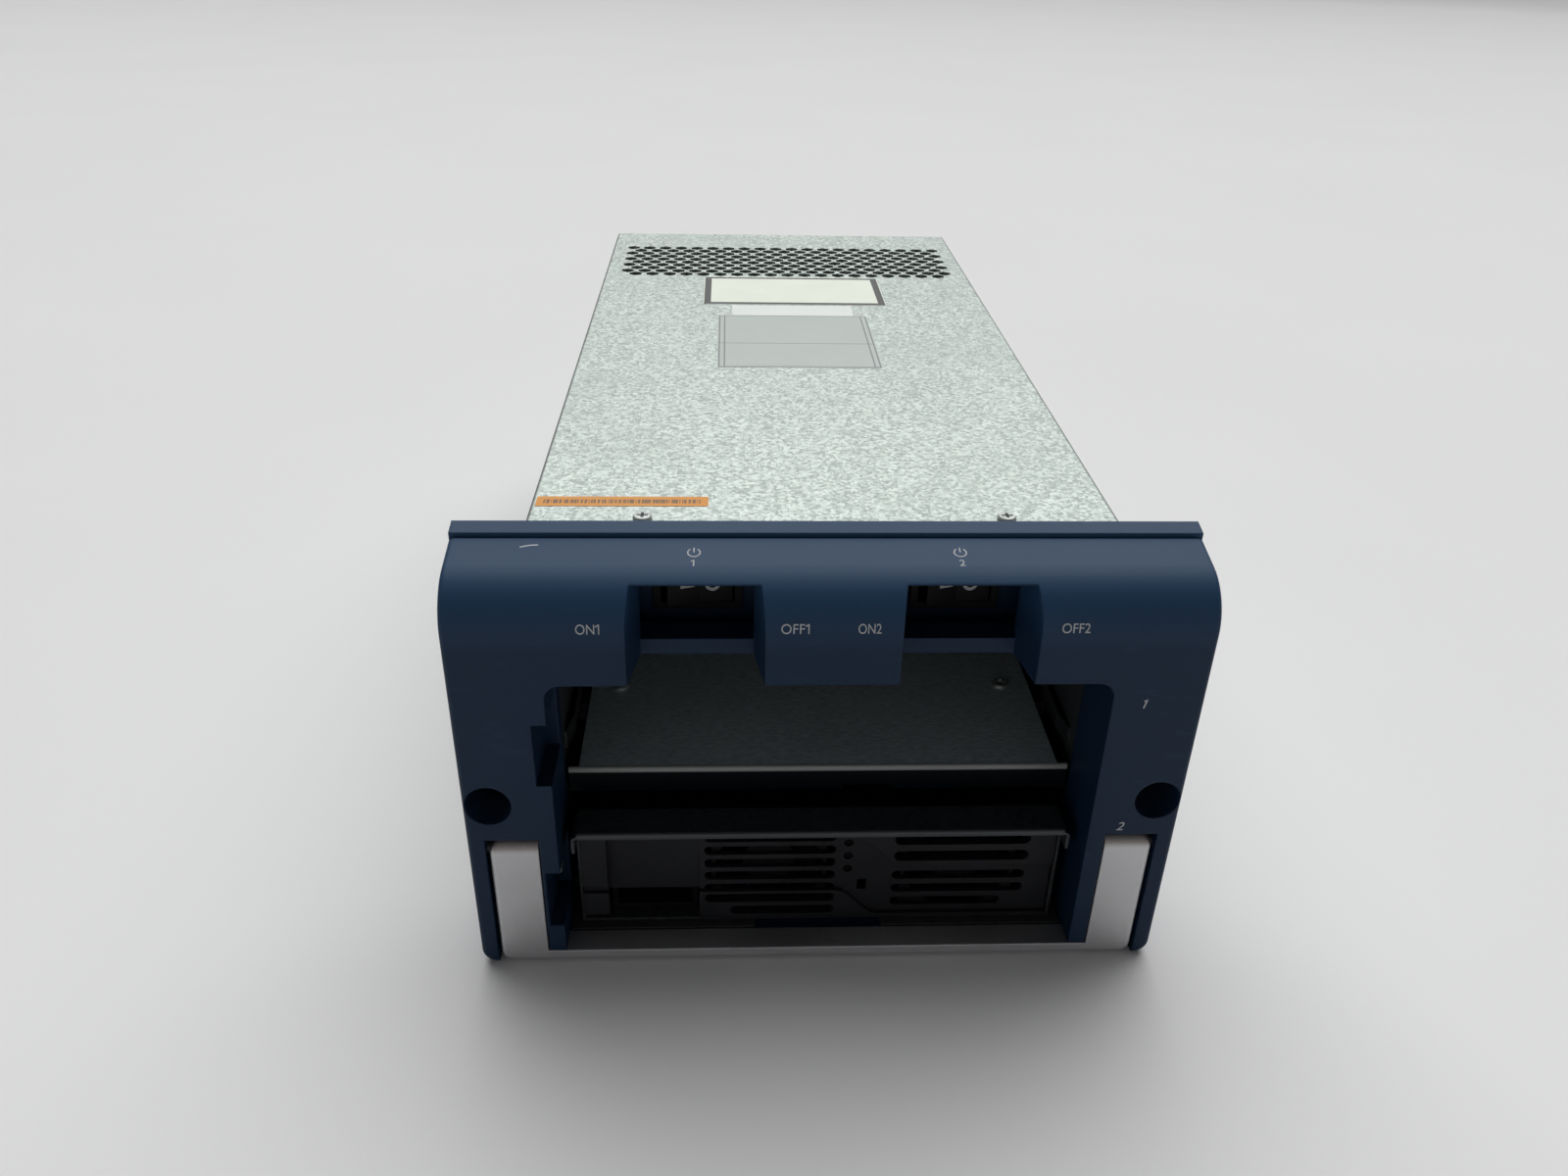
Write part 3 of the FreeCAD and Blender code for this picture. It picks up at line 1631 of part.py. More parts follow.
# Mains inlet: a block under the face's scoop, open at the front round three flat pins.
inlet = Piece("module_inlet")
inlet_front = module_front + dim.inlet_setback
inlet_back = inlet_front + dim.inlet_depth
inlet_middle = -(dim.inlet_left + dim.inlet_right) / 2
inlet.pad(
    "XZ", inlet_front, inlet_back,
    rectangle(-dim.inlet_left, -dim.inlet_right, tray_floor, dim.inlet_top),
)
inlet_level = (tray_floor + dim.inlet_top) / 2
socket_back = inlet_front + dim.socket_depth
inlet.pocket(
    "XZ", inlet_front, socket_back,
    rectangle(
        inlet_middle - dim.socket_width / 2, inlet_middle + dim.socket_width / 2,
        inlet_level - dim.socket_height / 2, inlet_level + dim.socket_height / 2,
    ),
)
contacts = []
for name, across in (("line", -1), ("earth", 0), ("neutral", 1)):
    middle = inlet_middle + across * dim.contact_spacing
    contacts.append(
        block(
            f"contact_{name}",
            (middle - dim.contact_width / 2, middle + dim.contact_width / 2),
            (socket_back - dim.contact_length, socket_back),
            (inlet_level - dim.contact_height / 2, inlet_level + dim.contact_height / 2),
        )
    )
group("inlet_contacts", *contacts)

# Module latch: a sprung finger at the left of the face, turning on an upright pin.
latch = Piece("module_latch")
latch_front = module_front + dim.latch_setback
latch_back = latch_front + dim.latch_thickness
latch_right = dim.latch_width - dim.latch_left
latch_high = lid_under - dim.grille_margin
arm_inner = dim.latch_arm_thickness - dim.latch_arm_outer
latch_pivot = behind(dim.latch_pivot)
latch_axis = -dim.latch_arm_outer + dim.latch_boss_radius
latch.pad(
    "XZ", latch_front, latch_back,
    rectangle(-dim.latch_left, latch_right, dim.latch_bottom, latch_high),
)
latch.pad(
    "XY", dim.latch_arm_low, dim.latch_arm_high,
    rectangle(-dim.latch_arm_outer, arm_inner, latch_front, latch_pivot),
)
latch.pad(
    "XY", dim.latch_arm_low, dim.latch_arm_high,
    Circle(latch_axis, latch_pivot, dim.latch_boss_radius),
)
latch.pad(
    "XY", catch_middle - dim.catch_height / 2, catch_middle + dim.catch_height / 2,
    Polygon(
        (-dim.latch_arm_outer, catch_front),
        (-dim.latch_arm_outer, catch_back),
        (-dim.latch_arm_outer - dim.catch_reach, catch_front),
    ),
)
latch.pocket(
    "XY", dim.latch_arm_low, dim.latch_arm_high,
    Circle(latch_axis, latch_pivot, dim.latch_pin_radius + dim.latch_pin_gap),
)
latch.pocket(
    "XZ", latch_front, latch_front + dim.latch_split_depth,
    rectangle(
        -dim.latch_left, latch_right,
        dim.latch_split - dim.latch_split_width / 2, dim.latch_split + dim.latch_split_width / 2,
    ),
)
node(
    rod("latch_pin", "Z", dim.latch_pin_radius, (tray_floor, lid_under), (latch_axis, latch_pivot)),
    "latch_pin",
)


def blade_section(chord):
    """A thin section of a fan blade, slanted away from the rotor's axis."""
    slant = dim.blade_slant
    along_y = chord / 2 * of_angle("cos", slant)
    along_z = chord / 2 * of_angle("sin", slant)
    skin_y = dim.blade_skin / 2 * of_angle("sin", slant)
    skin_z = dim.blade_skin / 2 * of_angle("cos", slant)
    centre = dim.rotor_depth / 2
    return Polygon(
        (centre - along_y - skin_y, skin_z - along_z),
        (centre - along_y + skin_y, -along_z - skin_z),
        (centre + along_y + skin_y, along_z - skin_z),
        (centre + along_y - skin_y, along_z + skin_z),
    )


# Fans: square frames behind the grille, each with a bladed rotor on its post.
fan_front = module_front + dim.fan_setback
fan_half = dim.fan_size / 2
fan_level = tray_floor + fan_half
strut_half = dim.fan_strut / 2
for side, middle in (("left", dim.fan_left), ("right", dim.fan_right)):
    fan = Piece(f"fan_frame_{side}")
    fan.pad("XZ", 0, dim.fan_depth, rectangle(-fan_half, fan_half, -fan_half, fan_half))
    fan.pocket("XZ", 0, dim.fan_depth, Circle(0, 0, dim.fan_bore))
    post_front = dim.fan_depth - dim.fan_post_depth
    fan.pad("XZ", post_front, dim.fan_depth, Circle(0, 0, dim.fan_post_radius))
    fan.pad("XZ", post_front, dim.fan_depth, rectangle(-fan_half, fan_half, -strut_half, strut_half))
    fan.pad("XZ", post_front, dim.fan_depth, rectangle(-strut_half, strut_half, -fan_half, fan_half))
    fan.pad("XZ", post_front - dim.rotor_depth / 2, post_front, Circle(0, 0, dim.fan_shaft_radius))
    fan.place(middle, fan_front, fan_level)

    rotor = Piece(f"fan_rotor_{side}")
    rotor.pad("XZ", 0, dim.rotor_depth, Circle(0, 0, dim.rotor_hub))
    rotor.pocket(
        "XZ", dim.rotor_depth / 4, dim.rotor_depth,
        Circle(0, 0, dim.fan_shaft_radius + dim.fan_shaft_gap),
    )
    tip = dim.fan_bore - dim.rotor_gap
    root_section = blade_section(dim.blade_root_chord)
    tip_section = blade_section(dim.blade_tip_chord)
    root = rotor.sketch("YZ", dim.rotor_hub - 2 * dim.blade_skin, [root_section])
    end = rotor.sketch("YZ", tip - dim.blade_skin, [tip_section])
    blade = rotor.add("PartDesign::AdditiveLoft")
    blade.Profile = root
    blade.Sections = [end]
    rotor.settle(root, end, blade)
    rotor.ring(blade, "Y_Axis", dim.rotor_blades)
    rotor_front = fan_front + post_front - dim.rotor_gap - dim.rotor_depth
    rotor.place(middle, rotor_front, fan_level)

# Module electronics: board on posts, heat sinks, transformer, capacitors, choke and plug.
pcb_front = behind(dim.pcb_start)
pcb_back = module_rear - dim.module_sheet - dim.pcb_end
pcb_half = tray_half - dim.module_sheet - dim.pcb_margin
node(
    block("module_board", (-pcb_half, pcb_half), (pcb_front, pcb_back), (pcb_low, pcb_top)),
    "module_board",
)
group(
    "module_posts",
    *(
        rod(
            f"module_post_{side}_{place}", "Z", dim.standoff_radius, (tray_floor, pcb_low),
            (sign * (pcb_half - dim.standoff_inset), depth),
        )
        for side, sign in SIDES.items()
        for place, depth in (
            ("front", pcb_front + dim.standoff_inset),
            ("back", pcb_back - dim.standoff_inset),
        )
    ),
)
for side, sign in SIDES.items():
    sink = Piece(f"heat_sink_{side}")
    left = sign * dim.sink_centre - dim.sink_width / 2
    pitch = (dim.sink_width - dim.sink_fin) / (dim.sink_fins - 1)
    comb = [(left + dim.sink_width, pcb_top), (left, pcb_top)]
    for index in range(count_of(dim.sink_fins)):
        fin = left + index * pitch
        comb += [(fin, pcb_top + dim.sink_height), (fin + dim.sink_fin, pcb_top + dim.sink_height)]
        if index < count_of(dim.sink_fins) - 1:
            comb += [
                (fin + dim.sink_fin, pcb_top + dim.sink_base),
                (fin + pitch, pcb_top + dim.sink_base),
            ]
    sink.pad("XZ", behind(dim.sink_start), behind(dim.sink_start + dim.sink_length), Polygon(*comb))

core = Piece("transformer_core")
core_front = behind(dim.core_start)
core_back = core_front + dim.core_length
core_half = dim.core_width / 2
core_high = pcb_top + dim.core_height
core.pad("XZ", core_front, core_back, rectangle(-core_half, core_half, pcb_top, core_high))
core.pocket(
    "XZ", core_front, core_back,
    rectangle(
        dim.core_wall - core_half, core_half - dim.core_wall,
        pcb_top + dim.core_wall, core_high - dim.core_wall,
    ),
)
core.pad(
    "XZ", core_front, core_back,
    rectangle(-dim.core_wall, dim.core_wall, pcb_top + dim.core_wall, core_high - dim.core_wall),
)
winding = Piece("transformer_winding")
winding_half = core_half - dim.core_wall - dim.winding_clearance
winding_reach = dim.core_wall
winding.pad(
    "XY", pcb_top + dim.core_wall, core_high - dim.core_wall,
    rectangle(-winding_half, winding_half, core_front - winding_reach, core_back + winding_reach),
)
winding.pocket(
    "XY", pcb_top + dim.core_wall, core_high - dim.core_wall,
    rectangle(-dim.core_wall, dim.core_wall, core_front, core_back),
)
capacitor_front = behind(dim.capacitor_start)
group(
    "bulk_capacitors",
    *(
        rod(
            f"bulk_capacitor_{side}", "Y", dim.capacitor_radius,
            (capacitor_front, capacitor_front + dim.capacitor_length),
            (
                dim.capacitor_centre + sign * dim.capacitor_spacing / 2,
                pcb_top + dim.capacitor_radius,
            ),
        )
        for side, sign in SIDES.items()
    ),
)
choke = Piece("filter_choke")
choke.pad(
    "XY", pcb_top, pcb_top + dim.choke_height,
    Circle(dim.choke_centre, behind(dim.choke_start), dim.choke_radius),
    Circle(dim.choke_centre, behind(dim.choke_start), dim.choke_bore),
)

plug_back = module_rear - dim.pin_gap
node(
    block("module_plug", (-plug_half, plug_half), (pcb_back, plug_back), (pcb_top, plug_high)),
    "module_plug",
)
group(
    "module_blades",
    *(
        block(
            f"module_blade_{index}",
            (
                blade_start + index * dim.blade_pitch - dim.blade_thickness / 2,
                blade_start + index * dim.blade_pitch + dim.blade_thickness / 2,
            ),
            (plug_back, plug_back + dim.blade_reach),
            (
                (pcb_top + plug_high) / 2 - dim.blade_height / 2,
                (pcb_top + plug_high) / 2 + dim.blade_height / 2,
            ),
        )
        for index in range(count_of(dim.blade_count))
    ),
)
group(
    "module_screws",
    *(
        small_screw(f"module_screw_{index}", "Z", module_top, -1, place, dim.small_shank_length)
        for index, place in enumerate(lid_screws)
    ),
)

doc.recompute()
for item in doc.Objects:
    if {"Invalid", "Error"} & set(item.State):
        raise RuntimeError(f"{item.Label} failed: {item.State}")
for item in nodes:
    if item.Shape.isNull() or not item.Shape.isValid() or not item.Shape.Solids:
        raise RuntimeError(f"{item.Label} has no sound shape")
for item in nodes:
    item.Shape.exportStep(f"parts/{item.Label}.step")
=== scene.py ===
import json
import math

import bmesh
import bpy
from mathutils import Matrix, Vector


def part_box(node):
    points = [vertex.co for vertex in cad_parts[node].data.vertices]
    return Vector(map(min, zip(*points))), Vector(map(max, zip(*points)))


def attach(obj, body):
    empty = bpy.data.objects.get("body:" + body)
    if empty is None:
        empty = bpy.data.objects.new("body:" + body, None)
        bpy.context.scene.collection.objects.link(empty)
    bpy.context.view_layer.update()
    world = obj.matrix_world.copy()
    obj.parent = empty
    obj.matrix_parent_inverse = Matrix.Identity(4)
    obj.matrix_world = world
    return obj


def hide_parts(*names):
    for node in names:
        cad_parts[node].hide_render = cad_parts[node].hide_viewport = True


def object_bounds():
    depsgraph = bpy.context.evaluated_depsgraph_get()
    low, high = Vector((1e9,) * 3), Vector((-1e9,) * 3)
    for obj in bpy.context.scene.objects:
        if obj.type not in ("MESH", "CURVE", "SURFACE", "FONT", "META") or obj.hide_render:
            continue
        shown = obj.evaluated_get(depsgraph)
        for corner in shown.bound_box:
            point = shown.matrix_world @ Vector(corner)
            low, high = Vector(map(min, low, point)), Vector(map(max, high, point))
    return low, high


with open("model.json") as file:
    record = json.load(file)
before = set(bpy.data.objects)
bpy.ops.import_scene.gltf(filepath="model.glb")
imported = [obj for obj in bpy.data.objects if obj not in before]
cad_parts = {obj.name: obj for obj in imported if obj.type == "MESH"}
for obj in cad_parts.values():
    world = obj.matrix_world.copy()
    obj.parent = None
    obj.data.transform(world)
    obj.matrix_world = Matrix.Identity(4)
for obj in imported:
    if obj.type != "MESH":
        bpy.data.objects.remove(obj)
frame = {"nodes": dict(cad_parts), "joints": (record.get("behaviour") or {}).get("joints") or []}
solid_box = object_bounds()
nodes = frame["nodes"]

# Case: base, vented cover and rear panel, folded from galvanised sheet and screwed together.
# Hot-dip zinc freezes in small crystals, each with its own grey and its own gloss. A band of
# painted shade darkens the cover's side folds, and the base's tongue in the opening of the bays
# is painted dark grey as painted shade.
CRYSTAL_SIZE, CRYSTAL_BEND = 0.0010, 0.0009
# How far back from the front the base's tongue is painted dark as painted shade.
TONGUE_SHADE_REACH = 0.026
ZINC_DARK, ZINC_LIGHT = (0.250, 0.290, 0.268, 1.0), (0.56, 0.62, 0.585, 1.0)
# Of the next two colours, the second is painted shade for the cover's side folds.
ZINC_SMUDGE, ZINC_FOLD_PAINTED_SHADE = (0.32, 0.365, 0.34, 1.0), (0.17, 0.195, 0.18, 1.0)
# Painted shade for the base's tongue, which lies in the shade of the bays' opening.
TONGUE_PAINTED_SHADE = (0.070, 0.068, 0.070, 1.0)
cover_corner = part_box("top_cover")[1]


class Value:
    """A socket of a material's nodes, so that a finish is written as plain sums."""

    def __init__(self, tree, socket):
        self.tree = tree
        self.socket = socket

    def node(self, kind, settings, inputs, output=0):
        made = self.tree.nodes.new(kind)
        for name, setting in settings.items():
            setattr(made, name, setting)
        for name, value in inputs.items():
            if isinstance(value, Value):
                self.tree.links.new(value.socket, made.inputs[name])
            else:
                made.inputs[name].default_value = value
        return Value(self.tree, made.outputs[output])

    def math(self, operation, first, second=0.0):
        return self.node("ShaderNodeMath", {"operation": operation}, {0: first, 1: second})

    def __add__(self, other):
        return self.math("ADD", self, other)

    def __radd__(self, other):
        return self.math("ADD", other, self)

    def __sub__(self, other):
        return self.math("SUBTRACT", self, other)

    def __rsub__(self, other):
        return self.math("SUBTRACT", other, self)

    def __mul__(self, other):
        return self.math("MULTIPLY", self, other)

    def __rmul__(self, other):
        return self.math("MULTIPLY", other, self)

    def __abs__(self):
        return self.math("ABSOLUTE", self)


def start_finish(name):
    """A new material, and the coordinates of the piece that wears it."""
    material = bpy.data.materials.new(name)
    material.use_nodes = True
    places = material.node_tree.nodes.new("ShaderNodeTexCoord")
    return material, Value(material.node_tree, places.outputs["Object"])


def end_finish(material, sockets):
    """Join what varies to the shader, and set on it what stays the same."""
    shader = material.node_tree.nodes["Principled BSDF"]
    for name, value in sockets.items():
        if isinstance(value, Value):
            material.node_tree.links.new(value.socket, shader.inputs[name])
        else:
            shader.inputs[name].default_value = value
    return material


def noise(place, grain, detail=2.0):
    """Cloudy values about a half, with features of about that size in metres."""
    return place.node("ShaderNodeTexNoise", {}, {"Vector": place, "Scale": 1 / grain, "Detail": detail})


def noise_vector(place, grain):
    """A vector that wanders about a half on each axis."""
    return place.node("ShaderNodeTexNoise", {}, {"Vector": place, "Scale": 1 / grain}, output="Color")


def stretched(place, along):
    """Coordinates drawn out, so that a pattern runs in streaks."""
    return place.node("ShaderNodeMapping", {}, {"Vector": place, "Scale": along})


def within(value, low, high):
    """Zero below low, one above high, and a slope between."""
    inputs = {"Value": value, "From Min": low, "From Max": high}
    return value.node("ShaderNodeMapRange", {}, inputs)


def tint(first, second, share):
    """One colour passing into another."""
    settings = {"data_type": "RGBA"}
    return share.node("ShaderNodeMix", settings, {0: share, 6: first, 7: second}, output=2)


def distance(place, axis):
    """The distance along one axis, named X, Y or Z."""
    return place.node("ShaderNodeSeparateXYZ", {}, {"Vector": place}, output=axis)


def relief(height, depth, strength=1.0, edge=0.0):
    """A bumped normal from a height, with its depth and any softening of edges in metres."""
    inputs = {"Height": height, "Distance": depth, "Strength": strength}
    if edge:
        inputs["Normal"] = height.node("ShaderNodeBevel", {"samples": 6}, {"Radius": edge})
    return height.node("ShaderNodeBump", {}, inputs)


def wear(finish, *names):
    """Put a finish on nodes of the frame."""
    for name in names:
        for slot in nodes[name].material_slots:
            slot.material = finish


def galvanised_finish():
    material, place = start_finish("galvanised_sheet")
    bent = place.node(
        "ShaderNodeVectorMath", {"operation": "MULTIPLY_ADD"},
        {0: noise_vector(place, CRYSTAL_BEND), 1: (CRYSTAL_BEND,) * 3, 2: place},
    )
    crystal = place.node(
        "ShaderNodeTexVoronoi", {"feature": "F1"},
        {"Vector": bent, "Scale": 1 / CRYSTAL_SIZE}, output="Color",
    )
    shade = place.node("ShaderNodeSeparateColor", {}, {"Color": crystal})
    fine = noise(place, 0.0005)
    broad = noise(place, 0.05)
    sparkle = shade * 0.55 + fine * 0.45
    colour = tint(ZINC_DARK, ZINC_LIGHT, within(sparkle, 0.25, 0.75))
    smudged = tint(colour, ZINC_SMUDGE, within(broad, 0.5, 0.8) * 0.35)
    # Painted shade: a dark band along the cover's side folds, where the sheet turns away from the
    # light.
    side = within(abs(distance(place, "X")) - cover_corner.x, -0.0014, -0.0006)
    fold = side * within(distance(place, "Z") - cover_corner.z, -0.0020, -0.0010)
    folded = tint(smudged, ZINC_FOLD_PAINTED_SHADE, fold * 0.85)
    # Painted shade: the base's tongue in the opening of the bays is painted dark grey.
    tongue_shade = 1 - within(distance(place, "Y") - solid_box[0].y, TONGUE_SHADE_REACH, TONGUE_SHADE_REACH + 0.003)
    return end_finish(material, {
        "Base Color": tint(folded, TONGUE_PAINTED_SHADE, tongue_shade * 0.95),
        "Metallic": 0.62,
        "Roughness": 0.36 + shade * 0.12 + broad * 0.06,
        "Normal": relief(shade * 0.5 + fine * 0.5, 0.00006, 0.6, edge=0.0004),
    })


wear(galvanised_finish(), "chassis_base", "top_cover", "rear_panel")

# Inner sheet work: the shelf is bare rolled sheet, and its turned-down lip is painted black
# below its fold as painted shade, so that only its fold shines. The cage, rails, the handle's
# pins and the module's tray and lid wear a near-black copy of the zinc as painted shade of the
# bays and the handle's pocket. The lid is greyer along its front fold and painted black as
# painted shade behind its front strip.
# Near-black copies of the zinc: painted shade for parts deep in the bays and the handle's pocket.
DEEP_ZINC_PAINTED_SHADE = ((0.040, 0.044, 0.046, 1.0), (0.070, 0.076, 0.078, 1.0))
# Near-black lid colours: painted shade, for the lid lying in the shadow of the shelf above it.
LID_PAINTED_SHADE = ((0.044, 0.060, 0.067, 1.0), (0.073, 0.098, 0.109, 1.0))
ROLLED_SHEET = ((0.42, 0.49, 0.51, 1.0), (0.68, 0.78, 0.81, 1.0))
LIP_FOLD = (0.33, 0.335, 0.33, 1.0)
LID_FOLD = (0.075, 0.081, 0.086, 1.0)
# Black painted shade, for below the shelf lip's fold and behind the lid's front strip.
PAINTED_SHADE_BLACK = (0.0008, 0.0030, 0.0050, 1.0)
LID_FRONT = 0.011


def inner_finish(name, dark, light, metal, lip=None, fold=None):
    """Rolled sheet. A lip, given by its front and top, is painted black below its fold as painted
    shade.
    A lid's fold, given by its place, is greyer, and black painted shade starts a little way behind it."""
    material, place = start_finish(name)
    rolled = noise(stretched(place, (0.25, 1.0, 1.0)), 0.0006)
    cloud = noise(place, 0.02)
    colour = tint(dark, light, within(rolled, 0.35, 0.65) * 0.7 + cloud * 0.3)
    bare = 1 - cloud * 0.1
    if lip:
        front, top = lip
        behind = within(distance(place, "Y") - front, 0.0010, 0.0013)
        above = within(distance(place, "Z") - top, -0.0018, -0.0014)
        bare = behind.math("MAXIMUM", behind, above) * bare
        # Painted shade: the lip is painted black below its fold.
        colour = tint(PAINTED_SHADE_BLACK, tint(LIP_FOLD, colour, behind), bare)
    if fold:
        depth = distance(place, "Y") - fold
        # Painted shade: the lid is painted black behind its front strip.
        colour = tint(colour, PAINTED_SHADE_BLACK, within(depth, LID_FRONT, LID_FRONT + 0.0004))
        colour = tint(LID_FOLD, colour, within(depth, 0.0006, 0.0011))
    return end_finish(material, {
        "Base Color": colour,
        "Metallic": bare * metal,
        "Specular IOR Level": 0.15,
        "Roughness": 0.30 + rolled * 0.12 + cloud * 0.08,
        "Normal": relief(rolled, 0.00002, 0.5, edge=0.0004),
    })


shelf_low, shelf_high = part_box("bay_shelf")
wear(inner_finish("rolled_shelf", *ROLLED_SHEET, 0.2, lip=(shelf_low.y, shelf_high.z)), "bay_shelf")
wear(inner_finish("lid_painted_shade", *LID_PAINTED_SHADE, 0.6, fold=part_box("module_cover")[0].y), "module_cover")
# The cage, rails, handle pins and tray wear a near-black copy of the zinc as painted shade.
inner_zinc_painted_shade = inner_finish("inner_zinc_painted_shade", *DEEP_ZINC_PAINTED_SHADE, 0.6)
wear(inner_zinc_painted_shade, "bay_cage", "shelf_rails", "module_case", "handle_pin_left", "handle_pin_right")

# Earthing springs and retaining clips: bent from thin rolled strip and marked lengthwise by the
# rolls, their tone painted darker than the case as painted shade of the bays. The springs lie
# along the cage's walls, and the clips hold the captive screws.
# Painted shade: both tones of the strip are kept dark for the depth of the bays.
STRIP_DARK, STRIP_LIGHT = (0.045, 0.046, 0.047, 1.0), (0.095, 0.097, 0.098, 1.0)


def strip_finish():
    material, place = start_finish("rolled_strip")
    drawn = noise(stretched(place, (1.0, 0.08, 1.0)), 0.0006)
    colour = tint(STRIP_DARK, STRIP_LIGHT, within(drawn, 0.3, 0.7))
    return end_finish(material, {
        "Base Color": colour,
        "Metallic": 0.9,
        "Roughness": 0.28 + drawn * 0.2,
        "Normal": relief(drawn, 0.00002),
    })


rolled_strip = strip_finish()
for bay in ("lower", "upper"):
    for side in ("left", "right"):
        wear(rolled_strip, f"guide_spring_{bay}_{side}")
wear(rolled_strip, "captive_clip_left", "captive_clip_right")

# Boards: green solder resist over glass fibre, with tracks that show as paler lines
# and a faint weave under the resist.
RESIST_DARK, RESIST_LIGHT = (0.010, 0.075, 0.030, 1.0), (0.020, 0.115, 0.050, 1.0)
TRACK_GREEN = (0.045, 0.20, 0.085, 1.0)


def board_finish():
    material, place = start_finish("solder_resist")
    track = noise(stretched(place, (1.0, 0.12, 1.0)), 0.004, detail=0.0)
    tracks = within(track, 0.50, 0.52) * (1 - within(track, 0.56, 0.58))
    weave = noise(stretched(place, (1.0, 1.0, 4.0)), 0.0009)
    cloud = noise(place, 0.03)
    base = tint(RESIST_DARK, RESIST_LIGHT, cloud)
    return end_finish(material, {
        "Base Color": tint(base, TRACK_GREEN, tracks),
        "Roughness": 0.30 + weave * 0.15,
        "Normal": relief(tracks + weave * 0.2, 0.00004),
        "Coat Weight": 0.3,
    })


solder_resist = board_finish()
wear(solder_resist, "backplane_board", "switch_board", "module_board")

# Power path: plug blocks and switches are black moulded nylon, the blades and busbars
# are bare rolled copper that has tarnished in patches.
NYLON_DARK, NYLON_LIGHT = (0.004, 0.004, 0.005, 1.0), (0.010, 0.010, 0.011, 1.0)
COPPER_BRIGHT, COPPER_TARNISHED = (0.78, 0.44, 0.27, 1.0), (0.42, 0.20, 0.11, 1.0)


def nylon_finish():
    material, place = start_finish("black_nylon")
    grain = noise(place, 0.0004)
    cloud = noise(place, 0.012)
    colour = tint(NYLON_DARK, NYLON_LIGHT, cloud)
    return end_finish(material, {
        "Base Color": colour,
        "Specular IOR Level": 0.14,
        "Roughness": 0.40 + grain * 0.16 + cloud * 0.08,
        "Normal": relief(grain, 0.00003, 0.7, edge=0.0004),
    })


def copper_finish():
    material, place = start_finish("rolled_copper")
    drawn = noise(stretched(place, (1.0, 0.06, 1.0)), 0.0008)
    tarnish = within(noise(place, 0.009), 0.45, 0.75)
    colour = tint(COPPER_BRIGHT, COPPER_TARNISHED, tarnish)
    return end_finish(material, {
        "Base Color": colour,
        "Metallic": 0.95,
        "Roughness": 0.22 + drawn * 0.18 + tarnish * 0.15,
        "Normal": relief(drawn, 0.00002),
    })


black_nylon = nylon_finish()
rolled_copper = copper_finish()
wear(black_nylon, "bay_socket_lower", "bay_socket_upper", "output_connector", "output_relays")
wear(black_nylon, "switch_body_1", "switch_body_2", "rocker_1", "rocker_2")
wear(rolled_copper, "output_blades", "busbars", "module_blades")

# Rocker marks: a bar and a ring printed in white on the two halves of each rocker,
# which rest tipped with the ring side pushed in.
INK_THICKNESS = 0.00006
INK_WHITE = (0.46, 0.47, 0.48)
ROCKER_TILT = math.radians(10)
FACET_RISE, FACET_LENGTH = 0.0012, 0.0090
FACET_SLOPE = math.atan2(FACET_RISE, FACET_LENGTH)
ROCKER_REACH = 0.0030
MARK_STROKE, MARK_LIFT = 0.00095, 0.0005
BAR_WIDTH, BAR_PLACE = 0.0039, 0.0034
RING_RADIUS, RING_PLACE = 0.0016, 0.0035


def ink_finish(name, colour):
    """Matt printing ink, a little thin in places."""
    material, place = start_finish(name)
    thin = noise(place, 0.0005, detail=4.0)
    faded = tuple(0.72 * part for part in colour) + (1.0,)
    return end_finish(material, {
        "Base Color": tint(colour + (1.0,), faded, within(thin, 0.45, 0.75)),
        "Roughness": 0.45 + thin * 0.2,
        "Normal": relief(thin, 0.00001),
    })


def settle(name, shape, finish, body):
    """Make an object of a finished bmesh, with its finish, body and material slot."""
    bmesh.ops.recalc_face_normals(shape, faces=shape.faces)
    mesh = bpy.data.meshes.new(name)
    shape.to_mesh(mesh)
    shape.free()
    mesh.materials.append(finish)
    piece = bpy.data.objects.new(name, mesh)
    bpy.context.scene.collection.objects.link(piece)
    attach(piece, body)
    return piece


def merge(shape, part):
    """Add a finished bmesh to another one."""
    mesh = bpy.data.meshes.new("part")
    part.to_mesh(mesh)
    part.free()
    shape.from_mesh(mesh)
    bpy.data.meshes.remove(mesh)


def ring_mark(shape, radius, stroke, gap=0.0):
    """A printed ring in the XY plane, open at the top by the gap's angle."""
    section = bmesh.ops.create_grid(shape, x_segments=1, y_segments=1, size=0.5)["verts"]
    bmesh.ops.scale(shape, verts=section, vec=(stroke, INK_THICKNESS, 1.0))
    bmesh.ops.rotate(shape, verts=section, matrix=Matrix.Rotation(math.pi / 2, 3, "X"))
    bmesh.ops.translate(shape, verts=section, vec=(radius, 0, 0))
    bmesh.ops.rotate(shape, verts=section, matrix=Matrix.Rotation(math.pi / 2 + gap / 2, 3, "Z"))
    faces = list({face for vert in section for face in vert.link_faces})
    edges = list({edge for vert in section for edge in vert.link_edges})
    bmesh.ops.spin(
        shape, geom=section + edges + faces, cent=(0, 0, 0), axis=(0, 0, 1),
        angle=math.tau - gap, steps=32, use_merge=gap == 0.0,
    )


def bar_mark(shape, width, height, middle=(0, 0)):
    """A printed bar in the XY plane."""
    corners = bmesh.ops.create_cube(shape, size=1.0)["verts"]
    bmesh.ops.scale(shape, verts=corners, vec=(width, height, INK_THICKNESS))
    bmesh.ops.translate(shape, verts=corners, vec=(middle[0], middle[1], 0))


